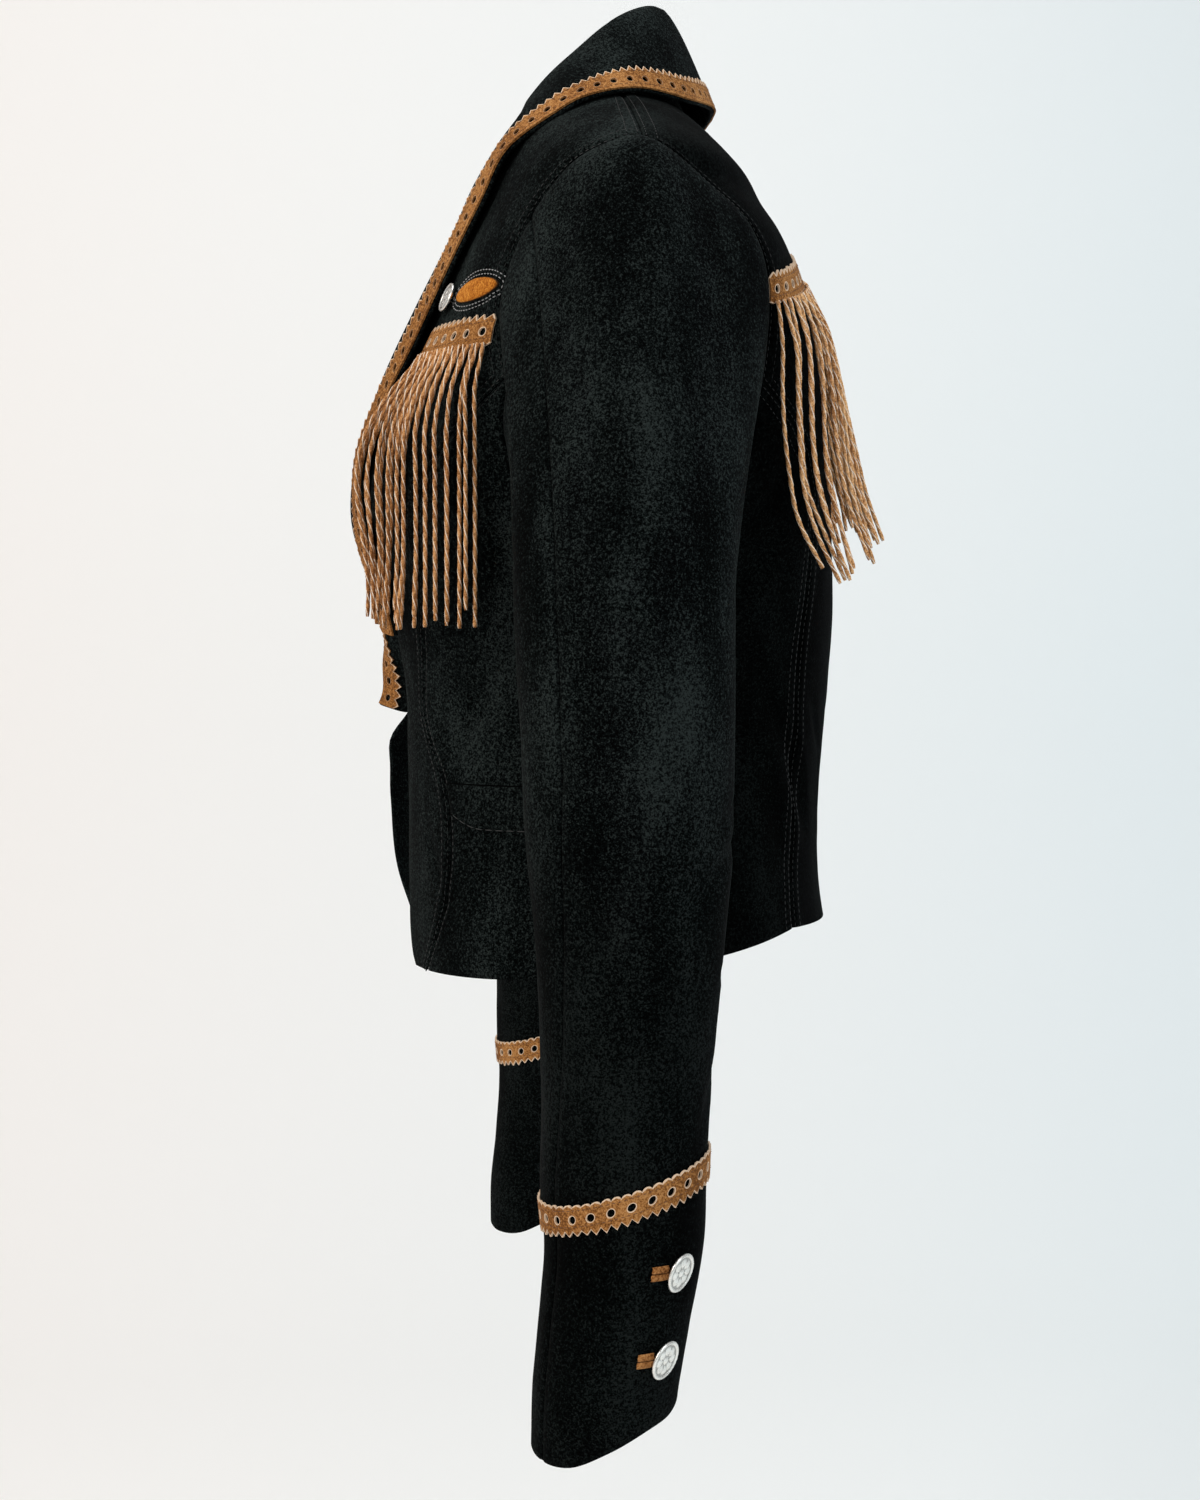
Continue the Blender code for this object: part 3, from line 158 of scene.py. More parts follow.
# Collar and lapel in one, from the centre back to the break point. Each row holds the neck seam,
# the roll line and the outer edge.
COLLAR = (
    (0.0, 0.045, -0.011, 0.0, 0.026, 0.0575, 0.0, 0.056, 0.0005),
    (0.029, 0.0405, -0.009, 0.028, 0.0215, 0.056, 0.04, 0.0515, -0.002),
    (0.056, 0.0265, -0.004, 0.05, 0.0095, 0.0495, 0.077, 0.033, -0.0068),
    (0.067, -0.001, 0.0015, 0.062, -0.0065, 0.0385, 0.1005, 0.0035, -0.0072),
    (0.0665, -0.022, -0.006, 0.064, -0.0235, 0.0222, 0.112, -0.0235, -0.0145),
    (0.0655, -0.04, -0.016, 0.064, -0.0417, 0.0045, 0.116, -0.0415, -0.025),
)

# Below the neck the roll line and the outer edge lie on the torso, as (x, height) pairs. The
# right lapel swings open toward its lower end by the degrees given; the left one ends higher.
LAPEL = (
    (0.0625, -0.0194, 0.114, -0.0461, 0),
    (0.06, -0.0468, 0.108, -0.0702, 0),
    (0.057, -0.0708, 0.101, -0.103, 0),
    (0.055, -0.0982, 0.095, -0.142, 0),
    (0.053, -0.14, 0.088, -0.18, 0),
    (0.051, -0.185, 0.08, -0.212, 0),
    (0.0497, -0.228, 0.0725, -0.244, 0),
    (0.0488, -0.264, 0.0684, -0.273, 4),
    (0.0485, -0.291, 0.0664, -0.295, 18),
    (0.048, -0.316, 0.0654, -0.318, 50),
    (0.0475, -0.342, 0.0643, -0.338, 62),
)
LAPEL_END = {LEFT: 14, RIGHT: 16}
LAPEL_LIFT = 0.0048
LAPEL_GAP = 0.0013
ROLL_LIFT = 0.0045
STAND_ROUND = 0.0045
STAND_SWELL, STAND_BULGE, STAND_SHARE = 0.08, 0.005, 0.4

# The lapel's leaf rounds toward its outer edge, from this station on and over this many.
LEAF_SWELL, SWELL_FROM, SWELL_SPAN = 0.12, 4.0, 3.0
NARROW_LEAF = 0.02
COLLAR_STEPS = (0.0, 0.17, 0.32, 0.38, 0.44, 0.54, 0.76, 1.0)

# How far the right front's edge lies forward of the left one's, by height, and over what width.
FLARE = ((-0.4775, -0.009), (-0.441, 0.006), (-0.404, 0.0095), (-0.368, 0.0085),
         (-0.332, -0.006), (-0.296, -0.003), (-0.262, 0.0))
FLARE_REACH = 0.03

# Perforated tan strip.
STRIP_WIDTH = 0.016
HOLE_PITCH = 0.01
FRONT_STRIP_X = (0.101, 0.157)
FRONT_STRIP_HEIGHT = -0.142
BACK_STRIP_X = 0.166
BACK_STRIP_PEAK = -0.085
BACK_STRIP_FALL = 0.0358
BACK_STRIP_POWER = 1.6
CUFF_STRIP_HEIGHT = -0.567
CUFF_STRIP_SLANT = 0.013

# Fringe of twisted strands.
STRAND_LENGTH = 0.145
STRAND_CLEAR = 0.0056
LAYER = 0.004
FRONT_SPREAD = 0.01
SIDE_SPREAD = 0.006
BUST_HEIGHT = -0.225
BLADE_HEIGHT = -0.2
BACK_GATHER = 0.12
BACK_SWEEP = 0.016

# Buttons, the oval insets, the pocket welts and the bound buttonholes.
CUFF_BUTTON_RADIUS = 0.01
CHEST_BUTTON_RADIUS = 0.008
BUTTON_HEIGHT = 0.006
CUFF_BUTTONS = ((33.5, -0.6005), (32.5, -0.6438))
CUFF_BUTTON_TURN, CUFF_BUTTON_DROP = 14.0, 0.26
TAB_LENGTH, TAB_WIDTH, TAB_START = 0.0088, 0.0068, 0.005
CUFF_RADIUS = 0.04
OVAL_CENTRE = (0.135, -0.119)
OVAL_HALF = (0.021, 0.0072)
CHEST_BUTTON_AT = (0.1085, -0.12)
POCKET_TOP, POCKET_BOTTOM = -0.3745, -0.3985
POCKET_BACK_Y = 0.01
POCKET_MARGIN = 0.02

# Finer folds than the frame's: angle, height, tilt (degrees), half length, half width, depth,
# and which half carries them (0 both).
TORSO_CREASES = (
    (20.0, -0.395, 70.0, 0.04, 0.008, -0.0016, 0),
    (31.0, -0.345, 48.0, 0.034, 0.007, -0.0013, 1),
    (34.0, -0.352, 56.0, 0.038, 0.008, -0.0014, -1),
    (52.0, -0.392, 66.0, 0.042, 0.009, -0.0018, 1),
    (49.0, -0.4, 60.0, 0.036, 0.008, -0.0016, -1),
    (62.0, -0.3, 40.0, 0.04, 0.009, 0.0014, 1),
    (70.0, -0.35, -35.0, 0.034, 0.01, -0.0016, 1),
    (72.0, -0.342, -41.0, 0.036, 0.01, -0.0014, -1),
    (58.0, -0.215, -58.0, 0.044, 0.01, -0.002, 1),
    (60.0, -0.222, -52.0, 0.04, 0.011, -0.0018, -1),
    (46.0, -0.235, -66.0, 0.04, 0.009, 0.0013, 0),
    (130.0, -0.428, 38.0, 0.03, 0.007, -0.0013, 1),
    (138.0, -0.436, -30.0, 0.026, 0.007, -0.0012, 1),
    (133.0, -0.432, 30.0, 0.03, 0.007, -0.0012, -1),
    (146.0, -0.418, 62.0, 0.034, 0.008, -0.0012, 0),
    (112.0, -0.252, 50.0, 0.036, 0.01, -0.0018, 0),
    (140.0, -0.298, -30.0, 0.03, 0.008, -0.0011, 1),
    (142.0, -0.312, -38.0, 0.028, 0.008, -0.001, -1),
    (12.0, -0.3, 82.0, 0.06, 0.012, 0.001, 0),
)
# Sleeve: angle (0 outside, 90 rear), height, tilt, half length, half width, depth, half.
SLEEVE_CREASES = (
    (58.0, -0.386, 28.0, 0.03, 0.007, -0.0018, 1),
    (66.0, -0.402, 20.0, 0.032, 0.008, -0.002, 1),
    (62.0, -0.392, 24.0, 0.032, 0.008, -0.0019, -1),
    (40.0, -0.42, 36.0, 0.034, 0.008, -0.0014, 1),
    (44.0, -0.428, 32.0, 0.03, 0.008, -0.0014, -1),
    (-38.0, -0.43, -34.0, 0.038, 0.008, -0.0018, 1),
    (-46.0, -0.415, -30.0, 0.034, 0.009, -0.0017, -1),
    (-58.0, -0.352, 62.0, 0.048, 0.009, -0.0016, 1),
    (-60.0, -0.362, 58.0, 0.044, 0.009, -0.0016, -1),
    (10.0, -0.485, 40.0, 0.036, 0.007, -0.001, 1),
    (6.0, -0.496, 36.0, 0.034, 0.007, -0.001, -1),
    (70.0, -0.52, 55.0, 0.036, 0.009, -0.0012, 0),
    (-20.0, -0.56, -66.0, 0.036, 0.008, -0.001, 0),
    (-8.0, -0.655, 70.0, 0.04, 0.01, -0.0012, 1),
    (-14.0, -0.648, 74.0, 0.038, 0.01, -0.0011, -1),
    (100.0, -0.455, 12.0, 0.03, 0.009, -0.0022, 0),
    (110.0, -0.48, 8.0, 0.028, 0.009, -0.0018, 0),
    (-30.0, -0.215, 76.0, 0.046, 0.01, -0.0014, 0),
    (200.0, -0.4, 30.0, 0.036, 0.01, -0.0018, 0),
    (230.0, -0.33, -50.0, 0.04, 0.01, -0.0018, 0),
    (170.0, -0.52, -30.0, 0.034, 0.01, -0.0014, 0),
)
CREASE_BEND = 0.35

COLLAR_PARTS = ("seam", "roll", "edge")
COLLAR_ROWS, COLLAR_ACROSS = 116, 30

# The far edge of the right front is filled in by this much round one height below the lapel.
FILL_KEY, FILL_HEIGHT, FILL_SPAN, FILL_DEPTH = -0.404, -0.356, 0.013, 0.005

# Seams: how deep an edge sinks, and how high the allowance under the topstitching rises.
SEAM_SINK, SEAM_RISE = 0.0009, 0.0007

# Stitches: length, gap and half width. The faces are those of one stitch's eight points.
STITCH = (0.0026, 0.0008, 0.00026)
TRIM_STITCH = (0.0024, 0.0007, 0.00024)
TOPSTITCH = (0.002, 0.0075)
STITCH_FACES = ((0, 1, 2), (0, 2, 3), (1, 4, 5, 2), (2, 5, 6, 3), (4, 7, 5), (5, 7, 6),
                (0, 3, 1), (4, 6, 7), (1, 3, 6, 4))

# Outline of one tooth or scallop between two valleys, as (share of its width, reach).
TOOTH = ((0.5, 1.0),)
SCALLOP = ((0.14, 0.62), (0.3, 0.92), (0.5, 1.0), (0.7, 0.92), (0.86, 0.62))

# Rings round each punched hole, as (radius, paleness), and the plain band inside the teeth.
HOLE_RINGS = ((0.00205, 1.0), (0.00232, 0.75), (0.0028, 0.0))
RING_SIDES = 16
EDGE_BAND = 0.0008
TRIM_LIFT = 0.0005
EDGE_TUCK = 0.0003
ARC_STEPS = 80
CUFF_STEPS = 60

# One strand: step and turn along it, half width and half depth, and its cut end.
LACE_STEP = 0.0016
LACE_TURN = 0.0185
LACE_HALF = (0.00122, 0.00102)
LACE_SIDES = 8
LACE_END = 0.8
LACE_WAVE = 0.0008
FRONT_LACES = 23
BACK_LACES = 66
ROOT_UNDER, ROOT_CLEAR = 0.0015, 0.003

# The button's back, as (share of the radius, share of the thickness), and its ornament's height.
BUTTON_BACK = ((0.3, 0.0), (0.3, 0.5), (0.9, 0.55), (0.985, 0.72), (1.0, 0.86))
BUTTON_RELIEF = 0.0016
BUTTON_LIFT = 0.0002
OVAL_INSET = 0.0013

# Sections of the welt and of the buttonhole: share of the width, rise (and painted shade, dark in
# the slit and at the edges).
POCKET_PROFILE = ((0.0, 0.0001), (0.025, 0.0011), (0.06, 0.0017), (0.14, 0.0014),
                  (0.5, 0.0012), (0.8, 0.0014), (0.9, 0.0018), (0.955, 0.0016),
                  (0.975, 0.0002), (1.0, 0.0001))
POCKET_BEND = 0.007     # rise of the welt's lower edge where it meets the front seam
TAB_PROFILE = ((0.0, 0.0001, 0.6), (0.06, 0.0006, 0.1), (0.22, 0.0012, 0.0),
               (0.4, 0.001, 0.0), (0.45, 0.0004, 0.9), (0.5, 0.0001, 1.0),
               (0.55, 0.0004, 0.9), (0.6, 0.001, 0.0), (0.78, 0.0012, 0.0),
               (0.94, 0.0006, 0.1), (1.0, 0.0001, 0.6))

NAP_STRETCH = (1.0, 1.0, 0.38)

# The camera, and the lights as name, place, target, size, power and colour.
FOCAL = 2150.0
VIEW_AT = (1.2511, -0.1315, -0.295)
VIEW_AXES = ((0.098976, 0.99509, 0.0), (-0.053813, 0.005353, 0.998537),
             (-0.993634, 0.098831, -0.054079))
LIGHTS = (
    ("Key", (1.6, -2.2, 1.4), (0, 0, -0.3), (1.6, 1.6), 54, (1.0, 0.95, 0.88)),
    ("Fill", (1.8, 2.2, 0.5), (0, 0, -0.3), (1.6, 1.6), 22, (0.86, 0.94, 1.0)),
    ("Top", (0.2, 0.2, 2.0), (0, 0, -0.3), (1.6, 1.6), 22, (1, 1, 1)),
    ("Wash", (-0.9, 0, 1.7), (-2.4, 0, -0.4), (2.4, 0.8), 3.5, (1, 0.99, 0.98)),
)


# ---------------------------------------------------------------- curves and skins

def smooth(keys, values, at):
    """Cubic through the values at rising keys, level beyond the ends."""
    if at <= keys[0]:
        return values[0]
    if at >= keys[-1]:
        return values[-1]
    i = bisect_right(keys, at) - 1
    span = keys[i + 1] - keys[i]

    def slope(k):
        low, high = max(k - 1, 0), min(k + 1, len(keys) - 1)
        return (values[high] - values[low]) / (keys[high] - keys[low])

    t = (at - keys[i]) / span
    a, b = slope(i) * span, slope(i + 1) * span
    rise = values[i + 1] - values[i]
    return values[i] + t * (a + t * (3 * rise - 2 * a - b + t * (a + b - 2 * rise)))


def smooth_point(keys, points, at):
    return Vector([smooth(keys, axis, at) for axis in zip(*points)])


def pair_curve(pairs, at):
    """Value of a two-column table, smooth between its rows."""
    return smooth(*zip(*pairs), at)


def lerp(a, b, t):
    return a + (b - a) * t


def measured(points):
    """Running length along a list of points."""
    run = [0.0]
    for a, b in zip(points, points[1:]):
        run.append(run[-1] + (b - a).length)
    return run


def mirrored(point, side):
    return Vector((point.x * side, point.y, point.z))


def side_name(stem, side):
    return stem + ("_left" if side == LEFT else "_right")


TORSO_TABLE = dict(zip(TORSO_COLUMNS, zip(*TORSO)))
SLEEVE_TABLE = dict(zip(SLEEVE_COLUMNS, zip(*SLEEVE[::-1])))


def torso_size(name, height):
    return smooth(TORSO_TABLE["height"], TORSO_TABLE[name], height)


def torso_side(angle, height):
    """Depth from the side line and the superellipse power, for the back or the front half."""
    if angle <= pi / 2:
        return torso_size("back", height) - SIDE_Y, torso_size("back_round", height)
    return -(torso_size("front", height) + SIDE_Y), torso_size("front_round", height)


def torso_skin(angle, height):
    """Point of the left half: angle 0 is the centre back, 180 degrees the centre front."""
    depth, power = torso_side(angle, height)
    x = torso_size("half_width", height) * sin(angle) ** (2 / power)
    y = SIDE_Y + depth * abs(cos(angle)) ** (2 / power)
    return Vector((x, y, height))


def torso_normal(angle, height):
    step = 0.004
    a0, a1 = max(angle - step, 0.001), min(angle + step, pi - 0.001)
    across = torso_skin(a1, height) - torso_skin(a0, height)
    along_height = torso_skin(angle, height + step) - torso_skin(angle, height - step)
    return along_height.cross(across).normalized()


def creases(table, angle, height, reach, side):
    """Sum of the soft folds at an angle in degrees, over an arc of the given radius."""
    total = 0.0
    for centre, level, tilt, half_length, half_width, depth, half in table:
        if half not in (0, side) or abs(height - level) > half_length:
            continue
        arc = radians((angle - centre + 180) % 360 - 180) * reach
        rise = height - level
        t = radians(tilt)
        a = (arc * cos(t) + rise * sin(t)) / half_length
        b = (-arc * sin(t) + rise * cos(t)) / half_width + CREASE_BEND * a * a
        q = a * a + b * b
        if q < 1:
            total += depth * (1 - q) ** 2
    return total


def fold_depth(angle, height):
    """Sum of the soft folds, each a rounded trough or ridge along a tilted line."""
    total = 0.0
    for centre, level, tilt, half_length, half_width, depth in FOLDS:
        arc = (angle - radians(centre)) * FOLD_RADIUS
        rise = height - level
        t = radians(tilt)
        on = arc * cos(t) + rise * sin(t)
        across = -arc * sin(t) + rise * cos(t)
        reach = (on / half_length) ** 2 + (across / half_width) ** 2
        if reach < 1:
            total += depth * (1 - reach) ** 2
    return total


def torso(angle, height, out=0.0):
    lift = out + fold_depth(angle, height)
    return torso_skin(angle, height) + torso_normal(angle, height) * lift


def angle_at_x(x, height, front):
    power = torso_size("front_round" if front else "back_round", height)
    ratio = min(abs(x) / torso_size("half_width", height), 1.0)
    angle = asin(ratio ** (power / 2))
    return pi - angle if front else angle


def angle_at_y(y, height):
    front = y < SIDE_Y
    depth, power = torso_side(0.75 * pi if front else 0.25 * pi, height)
    ratio = min(abs((y - SIDE_Y) / depth), 1.0)
    angle = acos(ratio ** (power / 2))
    return pi - angle if front else angle


def on_torso(x, height, front, out=0.0):
    return torso(angle_at_x(x, height, front), height, out)


def settle(point, normal, lift, carriers):
    """Move a point along the normal until it lies the lift above the carriers' outer faces."""
    rises = [0.0]
    for name in carriers:
        hit = CARRIERS[name].ray_cast(point + normal * SEARCH, -normal, 2 * SEARCH)[0]
        if hit is not None:
            rises.append((hit - point).dot(normal))
    return point + normal * (max(rises[1:] or rises) + lift)


def lie_on_torso(x, height, front, lift, carriers):
    angle = angle_at_x(x, height, front)
    return settle(torso(angle, height), torso_normal(angle, height), lift, carriers)


def flare(point, height):
    """How far the right front swings forward near its edge."""
    near = min(1.0, max(0.0, 1 - (point.x - EDGE_X) / FLARE_REACH))
    return pair_curve(FLARE, height) * near ** 1.5


def sleeve_skin(angle, height, out=0.0):
    """Point of the left sleeve below the cap; angle 0 faces outward, 90 degrees the back."""
    centre_x, centre_y, half_x, half_y = (
        smooth(SLEEVE_TABLE["height"], SLEEVE_TABLE[name], height) for name in SLEEVE_COLUMNS[1:])
    outward = Vector((cos(angle) / half_x, sin(angle) / half_y, 0)).normalized()
    centre = Vector((centre_x, centre_y, height))
    return centre + Vector((half_x * cos(angle), half_y * sin(angle), 0)) + outward * out


def drifted(degrees, height):
    """Angle round the sleeve, in radians, with the drift of its front seam."""
    reach = max(0.0, 1 - abs(degrees - SLEEVE_ANGLES[FRONT_SEAM_COLUMN]) / DRIFT_REACH)
    return radians(degrees + pair_curve(SEAM_DRIFT, height) * reach)


def cuff_height(degrees):
    folded = (degrees + 180) % 360 - 180
    if folded > 90:
        folded = 180 - folded
    if folded < -90:
        folded = -180 - folded
    return pair_curve(CUFF_EDGE, folded)


def lie_on_sleeve(angle, height, lift, side):
    skin = sleeve_skin(angle, height)
    normal = (sleeve_skin(angle, height, 1.0) - skin).normalized()
    halves = [side_name(stem, side) for stem in ("top_sleeve", "under_sleeve")]
    return settle(skin, normal, lift, halves)


def collar_rows():
    """Station rows of the collar table followed by those of the lapel, as plain dictionaries."""
    rows = []
    for values in COLLAR:
        row = {part: Vector(values[3 * i:3 * i + 3]) for i, part in enumerate(COLLAR_PARTS)}
        rows.append({**row, "swing": 0.0})
    for roll_x, roll_z, edge_x, edge_z, swing in LAPEL:
        seam = on_torso(pair_curve(FRONT_EDGE, roll_z), roll_z, True, -WALL / 2)
        rows.append({"seam": seam - Vector((WALL / 2 + LAPEL_GAP, 0, 0)),
                     "roll": on_torso(roll_x, roll_z, True, ROLL_LIFT),
                     "edge": on_torso(edge_x, edge_z, True, LAPEL_LIFT),
                     "swing": radians(swing)})
    return rows


STATIONS = collar_rows()
STATION_KEYS = range(len(STATIONS))


def collar_line(part, at):
    return smooth_point(STATION_KEYS, [row[part] for row in STATIONS], at)


def collar_section(at, side):
    """Points across the collar from the neck seam over the roll to the outer edge."""
    seam, roll, edge = (collar_line(part, at) for part in COLLAR_PARTS)
    swing = 0.0
    if side == RIGHT:
        forward = flare(roll, roll.z) * Vector((0, -1, 0))
        seam, roll, edge = seam + forward, roll + forward, edge + forward
        swing = smooth(STATION_KEYS, [row["swing"] for row in STATIONS], at)
        edge = roll + Matrix.Rotation(-swing, 3, "Z") @ (edge - roll)
    onward = Vector((1, 0, 0))
    if at > 0:
        ahead, behind = min(at + 0.05, STATION_KEYS[-1]), max(at - 0.05, 0)
        onward = collar_line("roll", ahead) - collar_line("roll", behind)
    fall = edge - roll
    outward = onward.cross(fall).normalized()
    inward = -(roll - seam).cross(onward).normalized()
    height = (roll - seam).length
    bulge = min(STAND_SWELL * height, STAND_BULGE)
    crown = min(STAND_SHARE * height, STAND_ROUND)
    turned = crown * cos(swing)
    onset = min(1.0, max(0.0, (at - SWELL_FROM) / SWELL_SPAN))
    swell = LEAF_SWELL * max(0.0, fall.length - NARROW_LEAF) * onset
    return (seam,
            lerp(seam, roll, 0.5) + inward * bulge,
            lerp(seam, roll, 1 - crown / height) + inward * crown * 0.3,
            roll,
            lerp(roll, edge, crown / fall.length) + outward * turned * 0.8,
            lerp(roll, edge, 0.28) + outward * turned,
            lerp(roll, edge, 0.65) + outward * (0.6 * turned + swell),
            edge)


def back_strip_height(x):
    return BACK_STRIP_PEAK - BACK_STRIP_FALL * (abs(x) / BACK_STRIP_X) ** BACK_STRIP_POWER


def half_of(x):
    return LEFT if x >= 0 else RIGHT


def back_arc():
    """x along the back strip's middle line, from left to right, and the running length."""
    xs = [lerp(BACK_STRIP_X, -BACK_STRIP_X, i / ARC_STEPS) for i in range(ARC_STEPS + 1)]
    points = [mirrored(on_torso(x, back_strip_height(x), False), half_of(x)) for x in xs]
    return xs, measured(points)


def on_back(x, height, out):
    """Point the given lift above the back, on either half."""
    return mirrored(lie_on_torso(abs(x), height, False, out, ["back"]), half_of(x))


# ---------------------------------------------------------------- panels as grids of spots

def along(spots, at):
    """Smooth point of a list of (angle, height) at a fractional index."""
    return tuple(smooth(range(len(spots)), axis, at) for axis in zip(*spots))


def armhole_points(table):
    """One side of the armhole from the shoulder point to the junction, as (angle, height)."""
    return [(pi / 2, table[0][1])] + [(angle_at_y(y, z), z) for y, z in table[1:]]


def seam_points(seam, hem, front, armhole):
    """A long seam from the hem up to the armhole's junction, as (angle, height)."""
    heights = [lerp(hem, JUNCTION, i / SEAM_ROWS) for i in range(SEAM_ROWS)]
    return [(angle_at_x(pair_curve(seam, h), h, front), h) for h in heights] + armhole[-1:]


def underarm_points():
    """Lower armhole from the back junction to the front one, as (angle, height)."""
    spots = []
    for i in range(SIDE_COLUMNS + 1):
        t = i / SIDE_COLUMNS
        angle = lerp(ARM_BACK[-1][0], ARM_FRONT[-1][0], (1 - cos(pi * t)) / 2)
        spots.append((angle, JUNCTION - (JUNCTION - UNDERARM) * sin(pi * t) ** 0.8))
    return spots


ARM_BACK, ARM_FRONT = armhole_points(ARMHOLE_BACK), armhole_points(ARMHOLE_FRONT)
ARM_UNDER = underarm_points()
BACK_SEAM_SPOTS = seam_points(BACK_SEAM, SEAM_HEM, False, ARM_BACK)
FRONT_SEAM_SPOTS = seam_points(FRONT_SEAM, FRONT_HEM, True, ARM_FRONT)
SHOULDER_ROW = SEAM_ROWS + ARMHOLE_ROWS


def rounded(table, other, u):
    """Point of one side of the armhole; it runs on into the other side over the shoulder."""
    return along([other[1]] + table, u + 1)


def armhole_at(u):
    """Armhole from the shoulder point (0) down the back (5), under the arm, up the front (16)."""
    if u <= 5:
        return rounded(ARM_BACK, ARM_FRONT, u)
    if u <= 11:
        return along(ARM_UNDER, u - 5)
    return rounded(ARM_FRONT, ARM_BACK, 16 - u)


def back_spot(s, t):
    """Spot of the back: s runs from the hem up to the neck, t from the centre to the side."""
    if s <= SEAM_ROWS:
        outer = along(BACK_SEAM_SPOTS, s)
        height = lerp(BACK_HEM, BLADE_LEVEL, s / SEAM_ROWS)
    elif s <= SHOULDER_ROW:
        outer = rounded(ARM_BACK, ARM_FRONT, SHOULDER_ROW - s)
        height = lerp(BLADE_LEVEL, YOKE_LEVEL, (s - SEAM_ROWS) / ARMHOLE_ROWS)
    else:
        share = (s - SHOULDER_ROW) / FRONT_COLUMNS
        outer = (pi / 2, lerp(SHOULDER_POINT, 0.0, share))
        height = lerp(YOKE_LEVEL, BACK_NECK, share)
    return lerp(0.0, outer[0], t), lerp(height, outer[1], t)


def front_spot(s, t):
    """Spot of the front: s runs from the hem up to the shoulder, t from the seam to the edge."""
    if s > SHOULDER_ROW - 1:
        low, share = front_spot(SHOULDER_ROW - 1, t), s - (SHOULDER_ROW - 1)
        high = (pi / 2, lerp(SHOULDER_POINT, 0.0, t))
        arc, fade = rounded(ARM_FRONT, ARM_BACK, SHOULDER_ROW - s), (1 - t) ** 3
        return tuple(lerp(low[i], high[i], share)
                     + fade * (arc[i] - lerp(ARM_FRONT[1][i], ARM_FRONT[0][i], share))
                     for i in range(2))
    outer = along(FRONT_SEAM_SPOTS, s)
    if s > SEAM_ROWS:
        outer = rounded(ARM_FRONT, ARM_BACK, SHOULDER_ROW - s)
    height = lerp(outer[1], FRONT_HEM * (1 - s / SHOULDER_ROW) ** EDGE_CROWDING, t)
    edge = angle_at_x(pair_curve(FRONT_EDGE, height), height, True)
    return lerp(outer[0], edge, t), height


def side_spot(up, across):
    back, front = along(BACK_SEAM_SPOTS, up * SEAM_ROWS), along(FRONT_SEAM_SPOTS, up * SEAM_ROWS)
    top = along(ARM_UNDER, across * SIDE_COLUMNS)
    turn = top[0] - lerp(ARM_BACK[-1][0], ARM_FRONT[-1][0], across)
    angle = lerp(back[0], front[0], across) + turn * up ** 3
    cut = (top[1] - JUNCTION) * up ** 1.5
    dip = HEM_DIP * sin(pi * across) * (1 - up)
    return angle, lerp(back[1], front[1], across) + cut - dip


def wander(point, side):
    """Slow unevenness of the hide, a fraction of a millimetre."""
    p = mirrored(point, side)
    return 0.00055 * noise.noise(p * 24) + 0.00022 * noise.noise(p * 70)


def edge_reach(point, height):
    """How far the right front's edge stands forward, filled in just below the lapel's end."""
    share = flare(point, FILL_KEY) / pair_curve(FLARE, FILL_KEY)
    fill = FILL_DEPTH * exp(-((height - FILL_HEIGHT) / FILL_SPAN) ** 2)
    return flare(point, height) + share * fill


def torso_point(spot, side, flared=False):
    angle, height = spot
    point = torso(angle, height)
    lift = (creases(TORSO_CREASES, angle * 180 / pi, height, FOLD_RADIUS, side)
            + wander(point, side))
    if flared and side == RIGHT:
        point.y -= edge_reach(torso_skin(angle, height), height)
    return point + torso_normal(angle, height) * lift


def spread(count, near):
    """Shares from 0 to 1 with two closer steps at both ends."""
    middle = [i / count for i in range(1, count) if 3.2 * near < i / count < 1 - 3.2 * near]
    return [0.0, near, 2.4 * near] + middle + [1 - 2.4 * near, 1 - near, 1.0]


def grid_normals(grid):
    """Unit normals of a grid, rows crossed with columns."""
    last_row, last = len(grid) - 1, len(grid[0]) - 1
    normals = []
    for i, row in enumerate(grid):
        below, above = grid[max(i - 1, 0)], grid[min(i + 1, last_row)]
        across = [row[min(j + 1, last)] - row[max(j - 1, 0)] for j in range(last + 1)]
        normals.append([(b - a).cross(c).normalized() for a, b, c in zip(below, above, across)])
    return normals


def moved(grid, normals, distance):
    return [[p + n * distance for p, n in zip(row, line)] for row, line in zip(grid, normals)]


def copied(grid):
    return [[p.copy() for p in row] for row in grid]


def pull_edges(grid, *edges):
    """Draw the chosen edges of a grid in by half a seam gap, along the surface."""
    def drawn(edge, inner):
        return edge + (inner - edge).normalized() * (SEAM_GAP / 2)

    new = copied(grid)
    for name, end, next_in in (("first", 0, 1), ("last", -1, -2)):
        if name + "_column" in edges:
            for row in new:
                row[end] = drawn(row[end], row[next_in])
        if name + "_row" in edges:
            new[end] = [drawn(p, q) for p, q in zip(new[end], new[next_in])]
    return new


def beside(grid, edges, reach):
    """Places within so many steps of the chosen edges, as (row, column, distance to the edge)."""
    rows, columns = len(grid), len(grid[0])
    for k in range(reach):
        ends = ("first", 0, k), ("last", -1, -1 - k)
        for name, end, step in ends:
            if name + "_column" in edges:
                for i in range(rows):
                    yield i, step, (grid[i][step] - grid[i][end]).length
        for name, end, step in ends:
            if name + "_row" in edges:
                for j in range(columns):
                    yield step, j, (grid[step][j] - grid[end][j]).length


def furrowed(grid, *edges):
    """Sink the chosen edges of a grid into a seam."""
    normals, new = grid_normals(grid), copied(grid)
    for i, j, distance in beside(grid, edges, 4):
        new[i][j] -= normals[i][j] * SEAM_SINK * exp(-(distance / 0.0016) ** 2)
    return new


